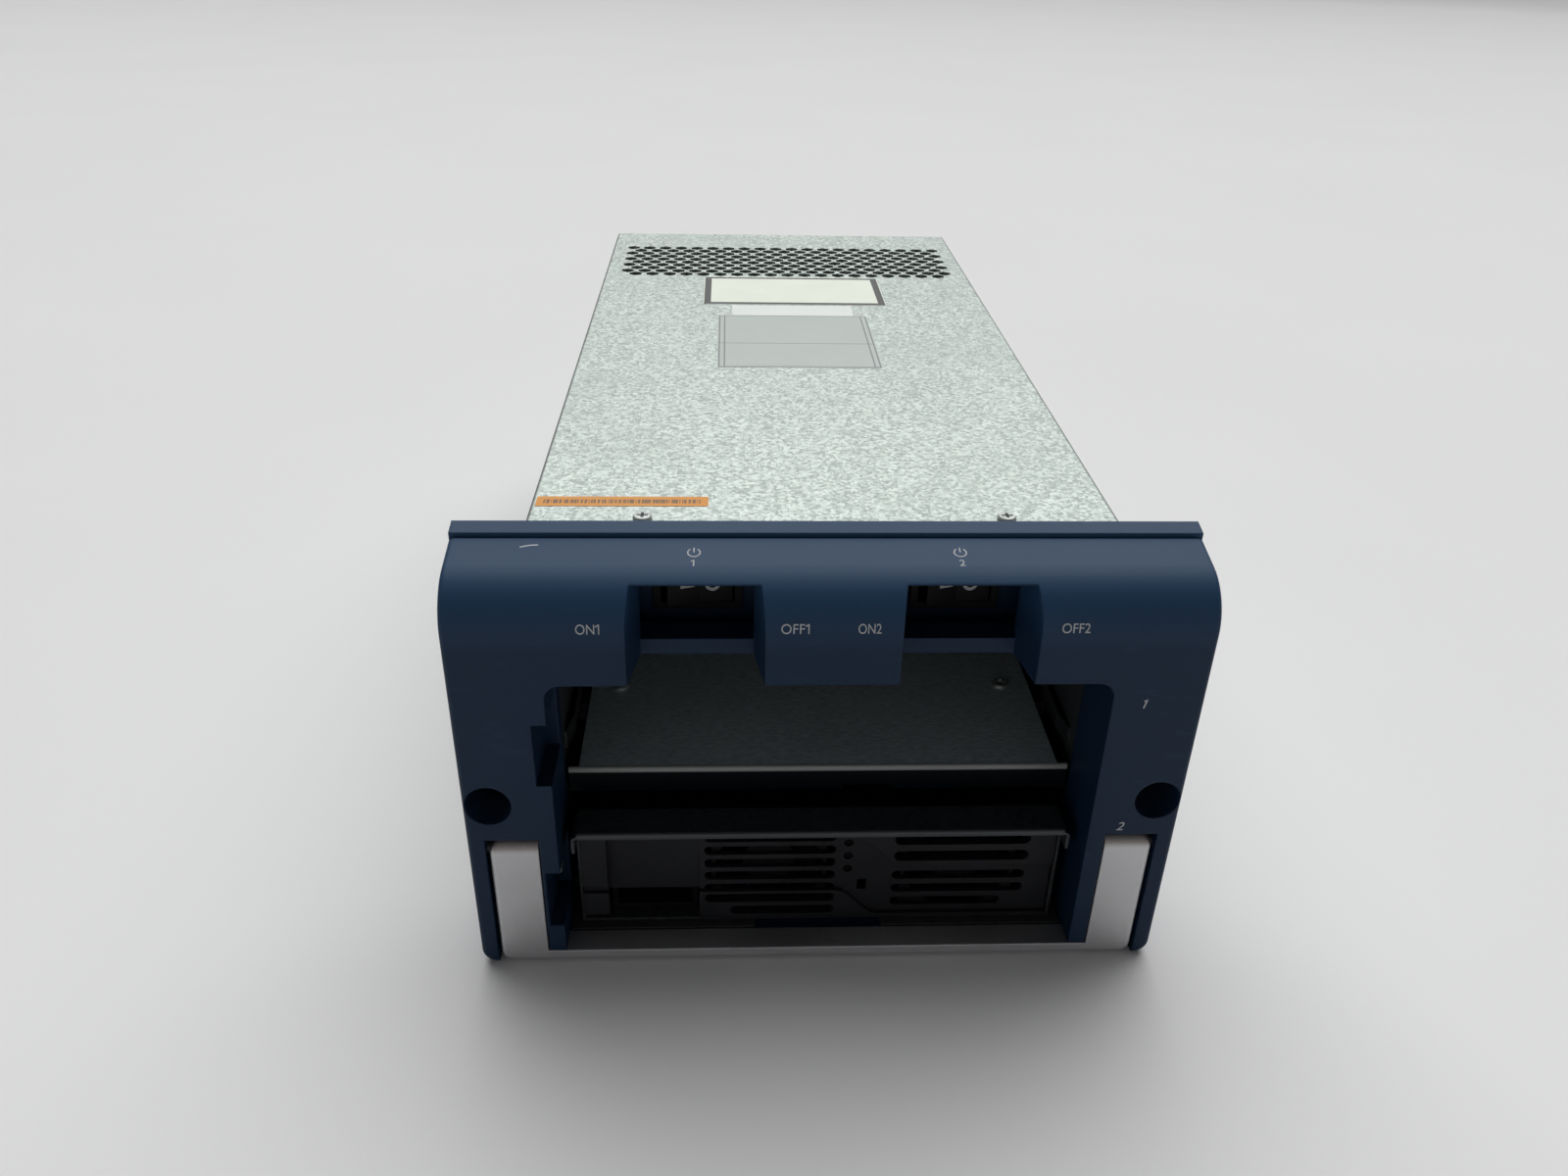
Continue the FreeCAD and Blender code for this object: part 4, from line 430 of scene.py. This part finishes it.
white_ink = ink_finish("white_ink", INK_WHITE)
for number in (1, 2):
    pivot = Vector(next(j for j in frame["joints"] if j["name"] == f"rocker_{number}_tilt")["pos_m"])
    marks = bmesh.new()
    for side, along in ((-1, BAR_PLACE), (1, RING_PLACE)):
        mark = bmesh.new()
        if side < 0:
            bar_mark(mark, BAR_WIDTH, MARK_STROKE)
        else:
            ring_mark(mark, RING_RADIUS, MARK_STROKE)
        facet = Matrix.Rotation(-side * FACET_SLOPE, 4, "Z") @ Matrix.Rotation(math.pi / 2, 4, "X")
        depth = -ROCKER_REACH - along * math.tan(FACET_SLOPE) - INK_THICKNESS / 2
        place = Matrix.Translation((side * along, depth, MARK_LIFT)) @ facet
        turned = Matrix.Translation(pivot) @ Matrix.Rotation(ROCKER_TILT, 4, "Z") @ place
        bmesh.ops.transform(mark, verts=mark.verts, matrix=turned)
        merge(marks, mark)
    settle(f"rocker_marks_{number}", marks, white_ink, f"rocker_{number}")

# Fasteners: zinc-plated pan-head screws with a cross recess, and plated pins and posts.
# The small screws hold the cover, the shelf, the front and the module's lid.
HEAD_RADIUS, HEAD_HEIGHT, SHANK_RADIUS = 0.0027, 0.0014, 0.0015
HEAD_ROUNDING, CROWN_RIM = HEAD_HEIGHT * 0.55, HEAD_RADIUS * 0.12
ARM_WIDTH, ARM_REACH = HEAD_RADIUS * 0.16, HEAD_RADIUS * 0.58
RECESS_DEPTH, RECESS_TAPER = HEAD_HEIGHT * 0.7, 0.6
PLATING_BRIGHT, PLATING_STAINED = (0.44, 0.465, 0.45, 1.0), (0.33, 0.35, 0.335, 1.0)


def zinc_finish():
    material, place = start_finish("zinc_plate")
    grain = noise(place, 0.0003)
    stain = within(noise(place, 0.004), 0.5, 0.8)
    colour = tint(PLATING_BRIGHT, PLATING_STAINED, stain)
    return end_finish(material, {
        "Base Color": colour,
        "Metallic": 0.65,
        "Roughness": 0.38 + grain * 0.12 + stain * 0.12,
        "Normal": relief(grain, 0.00001),
    })


zinc_plate = zinc_finish()
wear(zinc_plate, "captive_screw_left", "captive_screw_right", "bezel_screws", "latch_pin")
wear(zinc_plate, "board_posts", "module_posts", "inlet_contacts")


def cross_head_screw(shape, seat, shank_length):
    """A pan-head screw standing on its seat, with its cross recess upwards."""
    screw = bmesh.new()
    bmesh.ops.create_circle(screw, cap_ends=True, segments=16, radius=HEAD_RADIUS)
    raised = bmesh.ops.extrude_face_region(screw, geom=list(screw.faces))["geom"]
    top = [item for item in raised if isinstance(item, bmesh.types.BMVert)]
    bmesh.ops.translate(screw, verts=top, vec=(0, 0, HEAD_HEIGHT))
    rim = [edge for edge in screw.edges if all(vert in top for vert in edge.verts)]
    bmesh.ops.bevel(
        screw, geom=rim, offset=HEAD_ROUNDING, affect="EDGES",
        segments=3, profile=0.5, material=-1, offset_type="OFFSET",
    )
    crown = max(screw.faces, key=lambda face: (face.calc_center_median().z, face.calc_area()))
    bmesh.ops.inset_region(screw, faces=[crown], thickness=CROWN_RIM)
    for vert in crown.verts:
        angle = math.atan2(vert.co.y, vert.co.x)
        quarter = round(angle / (math.pi / 2)) * (math.pi / 2)
        step = round((angle - quarter) / (math.pi / 8))
        across = max(-1, min(1, step)) * ARM_WIDTH
        along = ARM_WIDTH if abs(step) == 2 else ARM_REACH
        spot = Matrix.Rotation(quarter, 2) @ Vector((along, across))
        vert.co.x, vert.co.y = spot
    sunk = bmesh.ops.extrude_face_region(screw, geom=[crown])["geom"]
    floor = [item for item in sunk if isinstance(item, bmesh.types.BMVert)]
    bmesh.ops.translate(screw, verts=floor, vec=(0, 0, -RECESS_DEPTH))
    bmesh.ops.scale(screw, verts=floor, vec=(RECESS_TAPER, RECESS_TAPER, 1.0))
    bmesh.ops.delete(screw, geom=[crown], context="FACES_ONLY")
    bmesh.ops.create_cone(
        screw, cap_ends=True, segments=16, radius1=SHANK_RADIUS, radius2=SHANK_RADIUS,
        depth=shank_length, matrix=Matrix.Translation((0, 0, -shank_length / 2)),
    )
    bmesh.ops.translate(screw, verts=screw.verts, vec=seat)
    merge(shape, screw)


def screws_of(node, body):
    """Cross-head screws in place of a node of plain ones that stand upright."""
    low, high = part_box(node)
    seat_height = high.z - HEAD_HEIGHT
    rings = []
    for vert in nodes[node].data.vertices:
        if vert.co.z > seat_height + HEAD_HEIGHT / 2:
            near = [ring for ring in rings if (ring[0] - vert.co).length < 3 * HEAD_RADIUS]
            if near:
                near[0].append(vert.co)
            else:
                rings.append([vert.co])
    shape = bmesh.new()
    for ring in rings:
        centre = sum(ring, Vector()) / len(ring)
        seat = Vector((centre.x, centre.y, seat_height))
        cross_head_screw(shape, seat, seat_height - low.z)
    piece = settle(f"{node}_cross_head", shape, zinc_plate, body)
    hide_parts(node)


screws_of("cover_screws", "frame")
screws_of("shelf_screws", "frame")
screws_of("module_screws", "module")

# Module face and latch: charcoal moulded plastic with a fine sparked texture.
# The lamps in it are light pipes, dark while unlit, and the fans behind it are black nylon.
CHARCOAL_DARK, CHARCOAL_LIGHT = (0.0068, 0.0072, 0.0095, 1.0), (0.0125, 0.0134, 0.0170, 1.0)
LAMP_DARK, LAMP_LIGHT = (0.002, 0.003, 0.002, 1.0), (0.004, 0.005, 0.004, 1.0)


def charcoal_finish():
    material, place = start_finish("charcoal_moulding")
    grain = noise(place, 0.00035)
    cloud = noise(place, 0.02)
    colour = tint(CHARCOAL_DARK, CHARCOAL_LIGHT, within(cloud, 0.3, 0.7))
    return end_finish(material, {
        "Base Color": colour,
        "Specular IOR Level": 0.3,
        "Roughness": 0.48 + grain * 0.18,
        "Normal": relief(grain, 0.00005, 0.8, edge=0.0003),
    })


def lamp_finish():
    material, place = start_finish("light_pipe")
    swirl = noise(place, 0.0008)
    colour = tint(LAMP_LIGHT, LAMP_DARK, swirl)
    return end_finish(material, {
        "Base Color": colour,
        "Specular IOR Level": 0.05,
        "Roughness": 0.50 + swirl * 0.1,
    })


charcoal = charcoal_finish()
wear(charcoal, "module_front", "module_latch")
wear(lamp_finish(), "status_lights")
wear(black_nylon, "module_inlet", "module_plug")
for side in ("left", "right"):
    wear(black_nylon, f"fan_frame_{side}", f"fan_rotor_{side}")

# Module electronics: extruded sinks, a ferrite core with a taped winding, sleeved
# capacitors and a choke wound with enamelled wire.
SINK_DARK, SINK_LIGHT = (0.62, 0.62, 0.64, 1.0), (0.80, 0.80, 0.82, 1.0)
FERRITE_DARK, FERRITE_LIGHT = (0.035, 0.035, 0.038, 1.0), (0.075, 0.075, 0.080, 1.0)
SLEEVE_DARK, SLEEVE_LIGHT = (0.016, 0.016, 0.030, 1.0), (0.035, 0.035, 0.055, 1.0)
TAPE_DARK, TAPE_LIGHT, TAPE_PITCH = (0.42, 0.30, 0.05, 1.0), (0.68, 0.54, 0.12, 1.0), 0.004
WIRE_DARK, WIRE_LIGHT, WIRE_PITCH = (0.25, 0.07, 0.02, 1.0), (0.55, 0.20, 0.07, 1.0), 0.0012


def extruded_finish():
    material, place = start_finish("extruded_aluminium")
    drawn = noise(stretched(place, (1.0, 0.03, 1.0)), 0.0006)
    colour = tint(SINK_DARK, SINK_LIGHT, drawn)
    return end_finish(material, {
        "Base Color": colour,
        "Metallic": 0.95,
        "Roughness": 0.30 + drawn * 0.15,
        "Normal": relief(drawn, 0.00003),
    })


def ground_ferrite_finish():
    material, place = start_finish("ground_ferrite")
    speck = noise(place, 0.0005, detail=4.0)
    colour = tint(FERRITE_DARK, FERRITE_LIGHT, speck)
    return end_finish(material, {
        "Base Color": colour,
        "Roughness": 0.45 + speck * 0.2,
        "Normal": relief(speck, 0.00003),
    })


def wound_finish(name, dark, light, pitch):
    """Turns of wire or tape lying side by side, a pitch apart."""
    material, place = start_finish(name)
    turns = place.node(
        "ShaderNodeTexWave", {"bands_direction": "Y"},
        {"Vector": place, "Scale": 1 / (pitch * 20), "Distortion": 0.3}, output="Fac",
    )
    cloud = noise(place, 0.006)
    return end_finish(material, {
        "Base Color": tint(dark, light, turns * 0.7 + cloud * 0.3),
        "Roughness": 0.30 + cloud * 0.2,
        "Normal": relief(turns, 0.0002),
    })


def sleeve_finish():
    material, place = start_finish("shrunk_sleeve")
    cloud = noise(place, 0.01)
    crease = noise(stretched(place, (1.0, 0.1, 1.0)), 0.0015)
    colour = tint(SLEEVE_DARK, SLEEVE_LIGHT, cloud)
    return end_finish(material, {
        "Base Color": colour,
        "Roughness": 0.22 + crease * 0.2,
        "Normal": relief(crease, 0.00005),
    })


wear(extruded_finish(), "heat_sink_left", "heat_sink_right")
wear(ground_ferrite_finish(), "transformer_core")
wear(wound_finish("winding_tape", TAPE_DARK, TAPE_LIGHT, TAPE_PITCH), "transformer_winding")
wear(wound_finish("choke_wire", WIRE_DARK, WIRE_LIGHT, WIRE_PITCH), "filter_choke")
wear(sleeve_finish(), "bulk_capacitors")

# Front: one injection moulding in dark blue, with a fine sparked texture that dulls it.
# It has rubbed a little paler in places, its nose is painted paler blue as a painted sheen where
# the light falls, and the nose has one short white scratch. The bracket that holds the switches
# is painted to match.
NOSE_START = 0.1132
SCRATCH_START, SCRATCH_LENGTH = -0.0812, 0.0046
SCRATCH_DEPTH, SCRATCH_BOW = -0.1637, 45.0
NAVY_DARK, NAVY_LIGHT = (0.0046, 0.0185, 0.048, 1.0), (0.0070, 0.0245, 0.058, 1.0)
# The first of these is a painted sheen for the nose's lit top; the second is rubbed wear.
NAVY_PAINTED_SHEEN, NAVY_RUBBED = (0.021, 0.060, 0.128, 1.0), (0.030, 0.060, 0.115, 1.0)
SCRATCH_WHITE = (0.55, 0.57, 0.60, 1.0)


def navy_finish():
    material, place = start_finish("navy_moulding")
    grain = noise(place, 0.00032)
    cloud = noise(place, 0.03)
    rub = within(noise(stretched(place, (0.25, 1.0, 1.0)), 0.004, detail=5.0), 0.62, 0.80)
    reach = distance(place, "X") - SCRATCH_START
    path = SCRATCH_DEPTH + (reach - SCRATCH_LENGTH) * (reach - SCRATCH_LENGTH) * -SCRATCH_BOW
    near = 1 - within(abs(distance(place, "Y") - path), 0.00012, 0.00028)
    between = within(reach, 0.0, 0.0004) * (1 - within(reach, SCRATCH_LENGTH, SCRATCH_LENGTH + 0.0004))
    scratch = near * between
    body = tint(NAVY_DARK, NAVY_LIGHT, cloud)
    # Painted sheen: the nose is painted paler blue where the light falls on it.
    nose_sheen = within(distance(place, "Z"), NOSE_START - 0.004, NOSE_START + 0.012)
    faded = tint(body, NAVY_PAINTED_SHEEN, nose_sheen * 0.9)
    rubbed = tint(faded, NAVY_RUBBED, rub * 0.35)
    return end_finish(material, {
        "Base Color": tint(rubbed, SCRATCH_WHITE, scratch),
        "Roughness": 0.42 + grain * 0.12 + cloud * 0.06,
        "Specular IOR Level": 0.20,
        "Normal": relief(grain - scratch * 2.0, 0.00003, 0.7, edge=0.0007),
    })


wear(navy_finish(), "front_bezel", "switch_bracket")

# Marks on the front: switch positions, a standby sign with its number above each switch,
# and a number beside each bay, all printed in one pale ink.
FRONT = solid_box[0].y
NOSE_RADIUS = 0.015
NOSE_SLOPE = math.radians(12.7)
NOSE_ARC = NOSE_RADIUS * (math.pi / 2 - NOSE_SLOPE)
WORD_HEIGHT, WORD_LEVEL = 0.0027, 0.0027
NUMBER_HEIGHT, NUMBER_LEVEL = 0.0024, 0.0214
SIGN_RADIUS, SIGN_STROKE, SIGN_LEVEL = 0.0016, 0.00035, 0.0255
SIGN_GAP, SIGN_BAR, SIGN_BAR_LEVEL = math.radians(70), 0.0018, 0.0010
BAY_NUMBER_HEIGHT, BAY_NUMBER_LEAN = 0.0029, 0.25
FLAG_LENGTH, FLAG_STROKE, FLAG_ANGLE = 0.36, 0.13, math.radians(35)
FLAG_SIDE, FLAG_DROP = 0.22, 0.15
LOWEST_CUT, HIGHEST_CUT, CUT_STEP = -0.070, 0.032, 0.0006


def onto_front(point):
    """Where a flat mark's point lies on the front: X across, Y up its profile, Z off it."""
    up = point.y
    if up <= 0:
        return Vector((point.x, FRONT - point.z, NOSE_START + up))
    turn = min(up, NOSE_ARC) / NOSE_RADIUS
    out = Vector((0, -math.cos(turn), math.sin(turn)))
    climb = Vector((0, math.sin(turn), math.cos(turn)))
    centre = Vector((point.x, FRONT + NOSE_RADIUS, NOSE_START))
    return centre + out * (NOSE_RADIUS + point.z) + climb * max(0.0, up - NOSE_ARC)


def word(shape, text, width, height, middle, lean=0.0):
    """Add a printed word about a middle, fitted to a height and, if one is given, a width. A
    last figure one gets the slanted flag that the plain typeface lacks, sized by the height."""
    curve = bpy.data.curves.new(text, "FONT")
    curve.body = text
    curve.extrude = 1.0
    curve.shear = lean
    holder = bpy.data.objects.new(text, curve)
    bpy.context.scene.collection.objects.link(holder)
    bpy.context.view_layer.update()
    flat = bpy.data.meshes.new_from_object(holder.evaluated_get(bpy.context.evaluated_depsgraph_get()))
    bpy.data.objects.remove(holder)
    corners = [vert.co for vert in flat.vertices]
    low = Vector(min(corner[axis] for corner in corners) for axis in range(3))
    high = Vector(max(corner[axis] for corner in corners) for axis in range(3))
    stretch = width / (high.x - low.x) if width else height / (high.y - low.y)
    fit = Matrix.Diagonal((stretch, height / (high.y - low.y), INK_THICKNESS / 2, 1))
    flat.transform(
        Matrix.Translation((middle[0], middle[1], 0)) @ fit @ Matrix.Translation(-(low + high) / 2)
    )
    before = set(shape.verts)
    shape.from_mesh(flat)
    bpy.data.meshes.remove(flat)
    added = [vert for vert in shape.verts if vert not in before]
    bmesh.ops.remove_doubles(shape, verts=added, dist=1e-7)
    if text.endswith("1"):
        flag = bmesh.new()
        bar_mark(flag, height * FLAG_LENGTH, height * FLAG_STROKE)
        bmesh.ops.rotate(flag, verts=flag.verts, matrix=Matrix.Rotation(FLAG_ANGLE, 3, "Z"))
        right = middle[0] + stretch * (high.x - low.x) / 2
        top = middle[1] + height / 2
        place = (right - height * FLAG_SIDE, top - height * FLAG_DROP, 0)
        bmesh.ops.translate(flag, verts=flag.verts, vec=place)
        merge(shape, flag)


front_marks = bmesh.new()
for text, x, width in (
    ("ON1", -0.0626, 0.0060), ("OFF1", -0.0101, 0.0072),
    ("ON2", 0.0089, 0.0059), ("OFF2", 0.0620, 0.0073),
):
    word(front_marks, text, width, WORD_HEIGHT, (x, WORD_LEVEL))
for text, x in (("1", -0.0360), ("2", 0.0335)):
    word(front_marks, text, None, NUMBER_HEIGHT, (x, NUMBER_LEVEL))
    sign = bmesh.new()
    ring_mark(sign, SIGN_RADIUS, SIGN_STROKE, gap=SIGN_GAP)
    bar_mark(sign, SIGN_STROKE, SIGN_BAR, (0, SIGN_BAR_LEVEL))
    bmesh.ops.translate(sign, verts=sign.verts, vec=(x, SIGN_LEVEL, 0))
    merge(front_marks, sign)
for text, x, height in (("1", 0.0839, 0.0924), ("2", 0.0838, 0.0502)):
    word(front_marks, text, None, BAY_NUMBER_HEIGHT, (x, height - NOSE_START), lean=BAY_NUMBER_LEAN)
# Cut across at small steps, so that the flat marks can bend round the nose.
level = LOWEST_CUT
while level < HIGHEST_CUT:
    geometry = list(front_marks.verts) + list(front_marks.edges) + list(front_marks.faces)
    bmesh.ops.bisect_plane(front_marks, geom=geometry, plane_co=(0, level, 0), plane_no=(0, 1, 0))
    level += CUT_STEP
for vert in front_marks.verts:
    vert.co = onto_front(vert.co + Vector((0, 0, INK_THICKNESS / 2)))
settle("front_marks", front_marks, white_ink, "frame")

# Pull handle: aluminium strap, bead-blasted and clear anodised to an even satin. The upper
# ends of its legs are painted darker and a little brown, as painted shade where the strap curves
# back into its pocket.
HANDLE_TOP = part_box("pull_handle")[1].z
SATIN_DARK, SATIN_LIGHT = (0.54, 0.54, 0.55, 1.0), (0.62, 0.62, 0.63, 1.0)
# The first of these is painted shade for the legs' upper ends; the second is random specks.
SATIN_PAINTED_SHADE, SATIN_SPECK = (0.30, 0.265, 0.255, 1.0), (0.45, 0.45, 0.46, 1.0)


def satin_finish():
    material, place = start_finish("satin_anodised")
    blast = noise(place, 0.00022)
    cloud = noise(place, 0.02)
    speck = within(noise(place, 0.0016, detail=1.0), 0.70, 0.76)
    colour = tint(SATIN_DARK, SATIN_LIGHT, cloud)
    # Painted shade: the tops of the legs are painted darker where the strap curves back into its
    # pocket.
    end = within(distance(place, "Z") - HANDLE_TOP, -0.0040, -0.0024)
    shaded_tops = tint(colour, SATIN_PAINTED_SHADE, end * 0.85)
    return end_finish(material, {
        "Base Color": tint(shaded_tops, SATIN_SPECK, speck * 0.25),
        "Metallic": 0.85,
        "Roughness": 0.40 + blast * 0.10,
        "Normal": relief(blast, 0.00003, 0.6, edge=0.0006),
    })


wear(satin_finish(), "pull_handle")

# Labels on the cover: thin stock glued to the zinc. A bordered cream plate, a white strip and
# a ruled silver plate lie towards the back, and an orange strip of bars near the front.
COVER_TOP = cover_corner.z
LABEL_THICKNESS = 0.0001
INK_EDGE, THIN_LINE = 0.0001, 0.0002
DARK_INK = (0.05, 0.055, 0.05, 1.0)
GREY_INK = (0.16, 0.18, 0.19, 1.0)
BROWN_INK = (0.10, 0.06, 0.03, 1.0)
CREAM, WHITE, SILVER = (0.90, 0.95, 0.83), (0.85, 0.90, 0.865), (0.50, 0.565, 0.525)
ORANGE_FRESH, ORANGE_AGED = (0.76, 0.30, 0.016, 1.0), (0.66, 0.255, 0.012, 1.0)


def label(name, finish, left, right, near, far, corner=0.0008):
    """A thin plate on the cover; near and far are measured from the front."""
    plate = bmesh.new()
    corners = bmesh.ops.create_grid(plate, x_segments=1, y_segments=1, size=0.5)["verts"]
    bmesh.ops.scale(plate, verts=corners, vec=(right - left, far - near, 1))
    middle = Vector(((left + right) / 2, FRONT + (near + far) / 2, COVER_TOP))
    bmesh.ops.translate(plate, verts=corners, vec=middle)
    bmesh.ops.bevel(
        plate, geom=corners, offset=corner, affect="VERTICES", segments=4, profile=0.5, material=-1,
    )
    raised = bmesh.ops.extrude_face_region(plate, geom=list(plate.faces))["geom"]
    top = [item for item in raised if isinstance(item, bmesh.types.BMVert)]
    bmesh.ops.translate(plate, verts=top, vec=(0, 0, LABEL_THICKNESS))
    settle(name, plate, finish, "frame")


def band(run, middle, half):
    """One within a printed band, zero outside it."""
    return 1 - within(abs(run - middle), half, half + INK_EDGE)


def inside(place, left, right, near, far):
    """One within those sides, zero outside them."""
    across = band(distance(place, "X"), (left + right) / 2, (right - left) / 2)
    return across * band(distance(place, "Y") - FRONT, (near + far) / 2, (far - near) / 2)


def paper_finish(name, colour, area=None, lines=(), ink=DARK_INK, gloss=0.5):
    """Label stock. Its printed lines, each (axis, place, half width), end at the area's sides."""
    material, place = start_finish(name)
    fibre = noise(place, 0.0006, detail=4.0)
    cloud = noise(place, 0.012)
    aged = tuple(0.90 * part for part in colour) + (1.0,)
    stock = tint(colour + (1.0,), aged, cloud)
    for axis, spot, half in lines:
        run = distance(place, "X") if axis == "x" else distance(place, "Y") - FRONT
        stock = tint(stock, ink, band(run, spot, half) * inside(place, *area))
    return end_finish(material, {
        "Base Color": stock,
        "Roughness": gloss + fibre * 0.15,
        "Normal": relief(fibre, 0.00001),
    })


cream_stock = paper_finish(
    "cream_stock", CREAM, area=(-0.0374, 0.0398, 0.2456, 0.2868),
    lines=(
        ("x", -0.0360, 0.0014), ("x", 0.0384, 0.0014),
        ("y", 0.2470, 0.0014), ("y", 0.2858, 0.0010),
    ),
)
white_stock = paper_finish("white_stock", WHITE)
silver_stock = paper_finish(
    "silver_stock", SILVER, area=(-0.0310, 0.0297, 0.1670, 0.2295),
    lines=(
        ("x", -0.0306, THIN_LINE), ("x", -0.0286, THIN_LINE),
        ("x", 0.0293, THIN_LINE), ("x", 0.0273, THIN_LINE),
        ("y", 0.1674, THIN_LINE), ("y", 0.2291, THIN_LINE), ("y", 0.1940, THIN_LINE),
    ),
    ink=GREY_INK, gloss=0.35,
)


def bar_strip_finish(name, area):
    """Orange stock with one row of plain upright bars of uneven width within the area."""
    material, place = start_finish(name)
    fibre = noise(place, 0.0006, detail=4.0)
    bars = within(noise(stretched(place, (1.0, 0.0, 0.0)), 0.0006, detail=1.0), 0.47, 0.49)
    stock = tint(ORANGE_FRESH, ORANGE_AGED, fibre)
    return end_finish(material, {
        "Base Color": tint(stock, BROWN_INK, bars * inside(place, *area) * 0.85),
        "Roughness": 0.45 + fibre * 0.15,
        "Normal": relief(fibre, 0.00001),
    })


orange_stock = bar_strip_finish("orange_stock", area=(-0.0796, -0.0350, 0.0512, 0.0536))
label("cream_plate", cream_stock, left=-0.0377, right=0.0401, near=0.2452, far=0.2872, corner=0.002)
label("white_strip", white_stock, left=-0.0255, right=0.0247, near=0.2300, far=0.2440)
label("rating_plate", silver_stock, left=-0.0313, right=0.0300, near=0.1665, far=0.2300)
label("orange_strip", orange_stock, left=-0.0816, right=-0.0328, near=0.0494, far=0.0556, corner=0.0004)

# Floor: a wide sheet of white paper that sweeps up far away on every side and passes into
# grey there, under a broad soft light from above and a little behind, so that the top is
# bright and the front stands in its own shade. A faint light from the front reaches the bays.
FLOOR_REACH, SWEEP_START, SWEEP_CURVE = 8.0, 4.5, 0.28
PROFILE_STEPS, ROUND_STEPS = 32, 96
PAPER_DARK, PAPER_LIGHT = (0.78, 0.78, 0.785, 1.0), (0.82, 0.82, 0.82, 1.0)
PAPER_FAR = (0.33, 0.33, 0.335, 1.0)
SKY_COLOUR, SKY_STRENGTH = (0.95, 0.98, 1.0, 1.0), 0.025


def paper_floor_finish():
    material, place = start_finish("paper_floor")
    cloud = noise(place, 0.25)
    fibre = noise(place, 0.002, detail=4.0)
    reach = place.node("ShaderNodeVectorMath", {"operation": "LENGTH"}, {0: place}, output="Value")
    far = within(reach, SWEEP_START, SWEEP_START + 1.0)
    white = tint(PAPER_DARK, PAPER_LIGHT, cloud)
    return end_finish(material, {
        "Base Color": tint(white, PAPER_FAR, far),
        "Roughness": 0.55 + fibre * 0.2,
        "Normal": relief(fibre, 0.00005, 0.3),
    })


sheet = bmesh.new()
profile = []
for step in range(PROFILE_STEPS + 1):
    reach = FLOOR_REACH * step / PROFILE_STEPS
    rise = SWEEP_CURVE * max(0.0, reach - SWEEP_START) ** 2
    profile.append(sheet.verts.new((reach, 0, rise)))
edges = [sheet.edges.new(pair) for pair in zip(profile, profile[1:])]
bmesh.ops.spin(
    sheet, geom=profile + edges, cent=(0, 0, 0), axis=(0, 0, 1),
    angle=math.tau, steps=ROUND_STEPS, use_merge=True,
)
bmesh.ops.remove_doubles(sheet, verts=sheet.verts, dist=1e-5)
bmesh.ops.recalc_face_normals(sheet, faces=sheet.faces)
for face in sheet.faces:
    face.smooth = True
floor_mesh = bpy.data.meshes.new("paper_floor")
sheet.to_mesh(floor_mesh)
sheet.free()
floor_mesh.materials.append(paper_floor_finish())
paper_floor = bpy.data.objects.new("paper_floor", floor_mesh)
bpy.context.scene.collection.objects.link(paper_floor)

for name, energy, spread, way in (
    ("ceiling", 3.15, 75, (-0.1, -0.72, -1.0)),
    ("window", 0.09, 60, (0.1, 1.0, -0.65)),
):
    sun = bpy.data.lights.new(name, "SUN")
    sun.energy = energy
    sun.angle = math.radians(spread)
    lamp = bpy.data.objects.new(name, sun)
    bpy.context.scene.collection.objects.link(lamp)
    lamp.rotation_euler = Vector(way).to_track_quat("-Z", "Y").to_euler()
world = bpy.data.worlds.new("studio")
world.use_nodes = True
sky = world.node_tree.nodes["Background"]
sky.inputs["Color"].default_value = SKY_COLOUR
sky.inputs["Strength"].default_value = SKY_STRENGTH
bpy.context.scene.world = world
bpy.context.scene.view_settings.view_transform = "Standard"

# Camera: close in front and above, slightly turned to the right and rolled, as one that is
# held by hand over the bays.
EYE_SIDE, EYE_BACK, EYE_HEIGHT = -0.026867, 0.261694, 0.277222
YAW, PITCH, ROLL = 0.0518172, 0.5175946, 0.0244910
eye = bpy.data.cameras.new("eye")
eye.sensor_width = 36.0
eye.lens = 27.892
eye.clip_start = 0.01
camera = bpy.data.objects.new("eye", eye)
bpy.context.scene.collection.objects.link(camera)
camera.matrix_world = (
    Matrix.Translation((EYE_SIDE, FRONT - EYE_BACK, EYE_HEIGHT))
    @ Matrix.Rotation(-YAW, 4, "Z")
    @ Matrix.Rotation(math.pi / 2 - PITCH, 4, "X")
    @ Matrix.Rotation(ROLL, 4, "Z")
)
bpy.context.scene.camera = camera
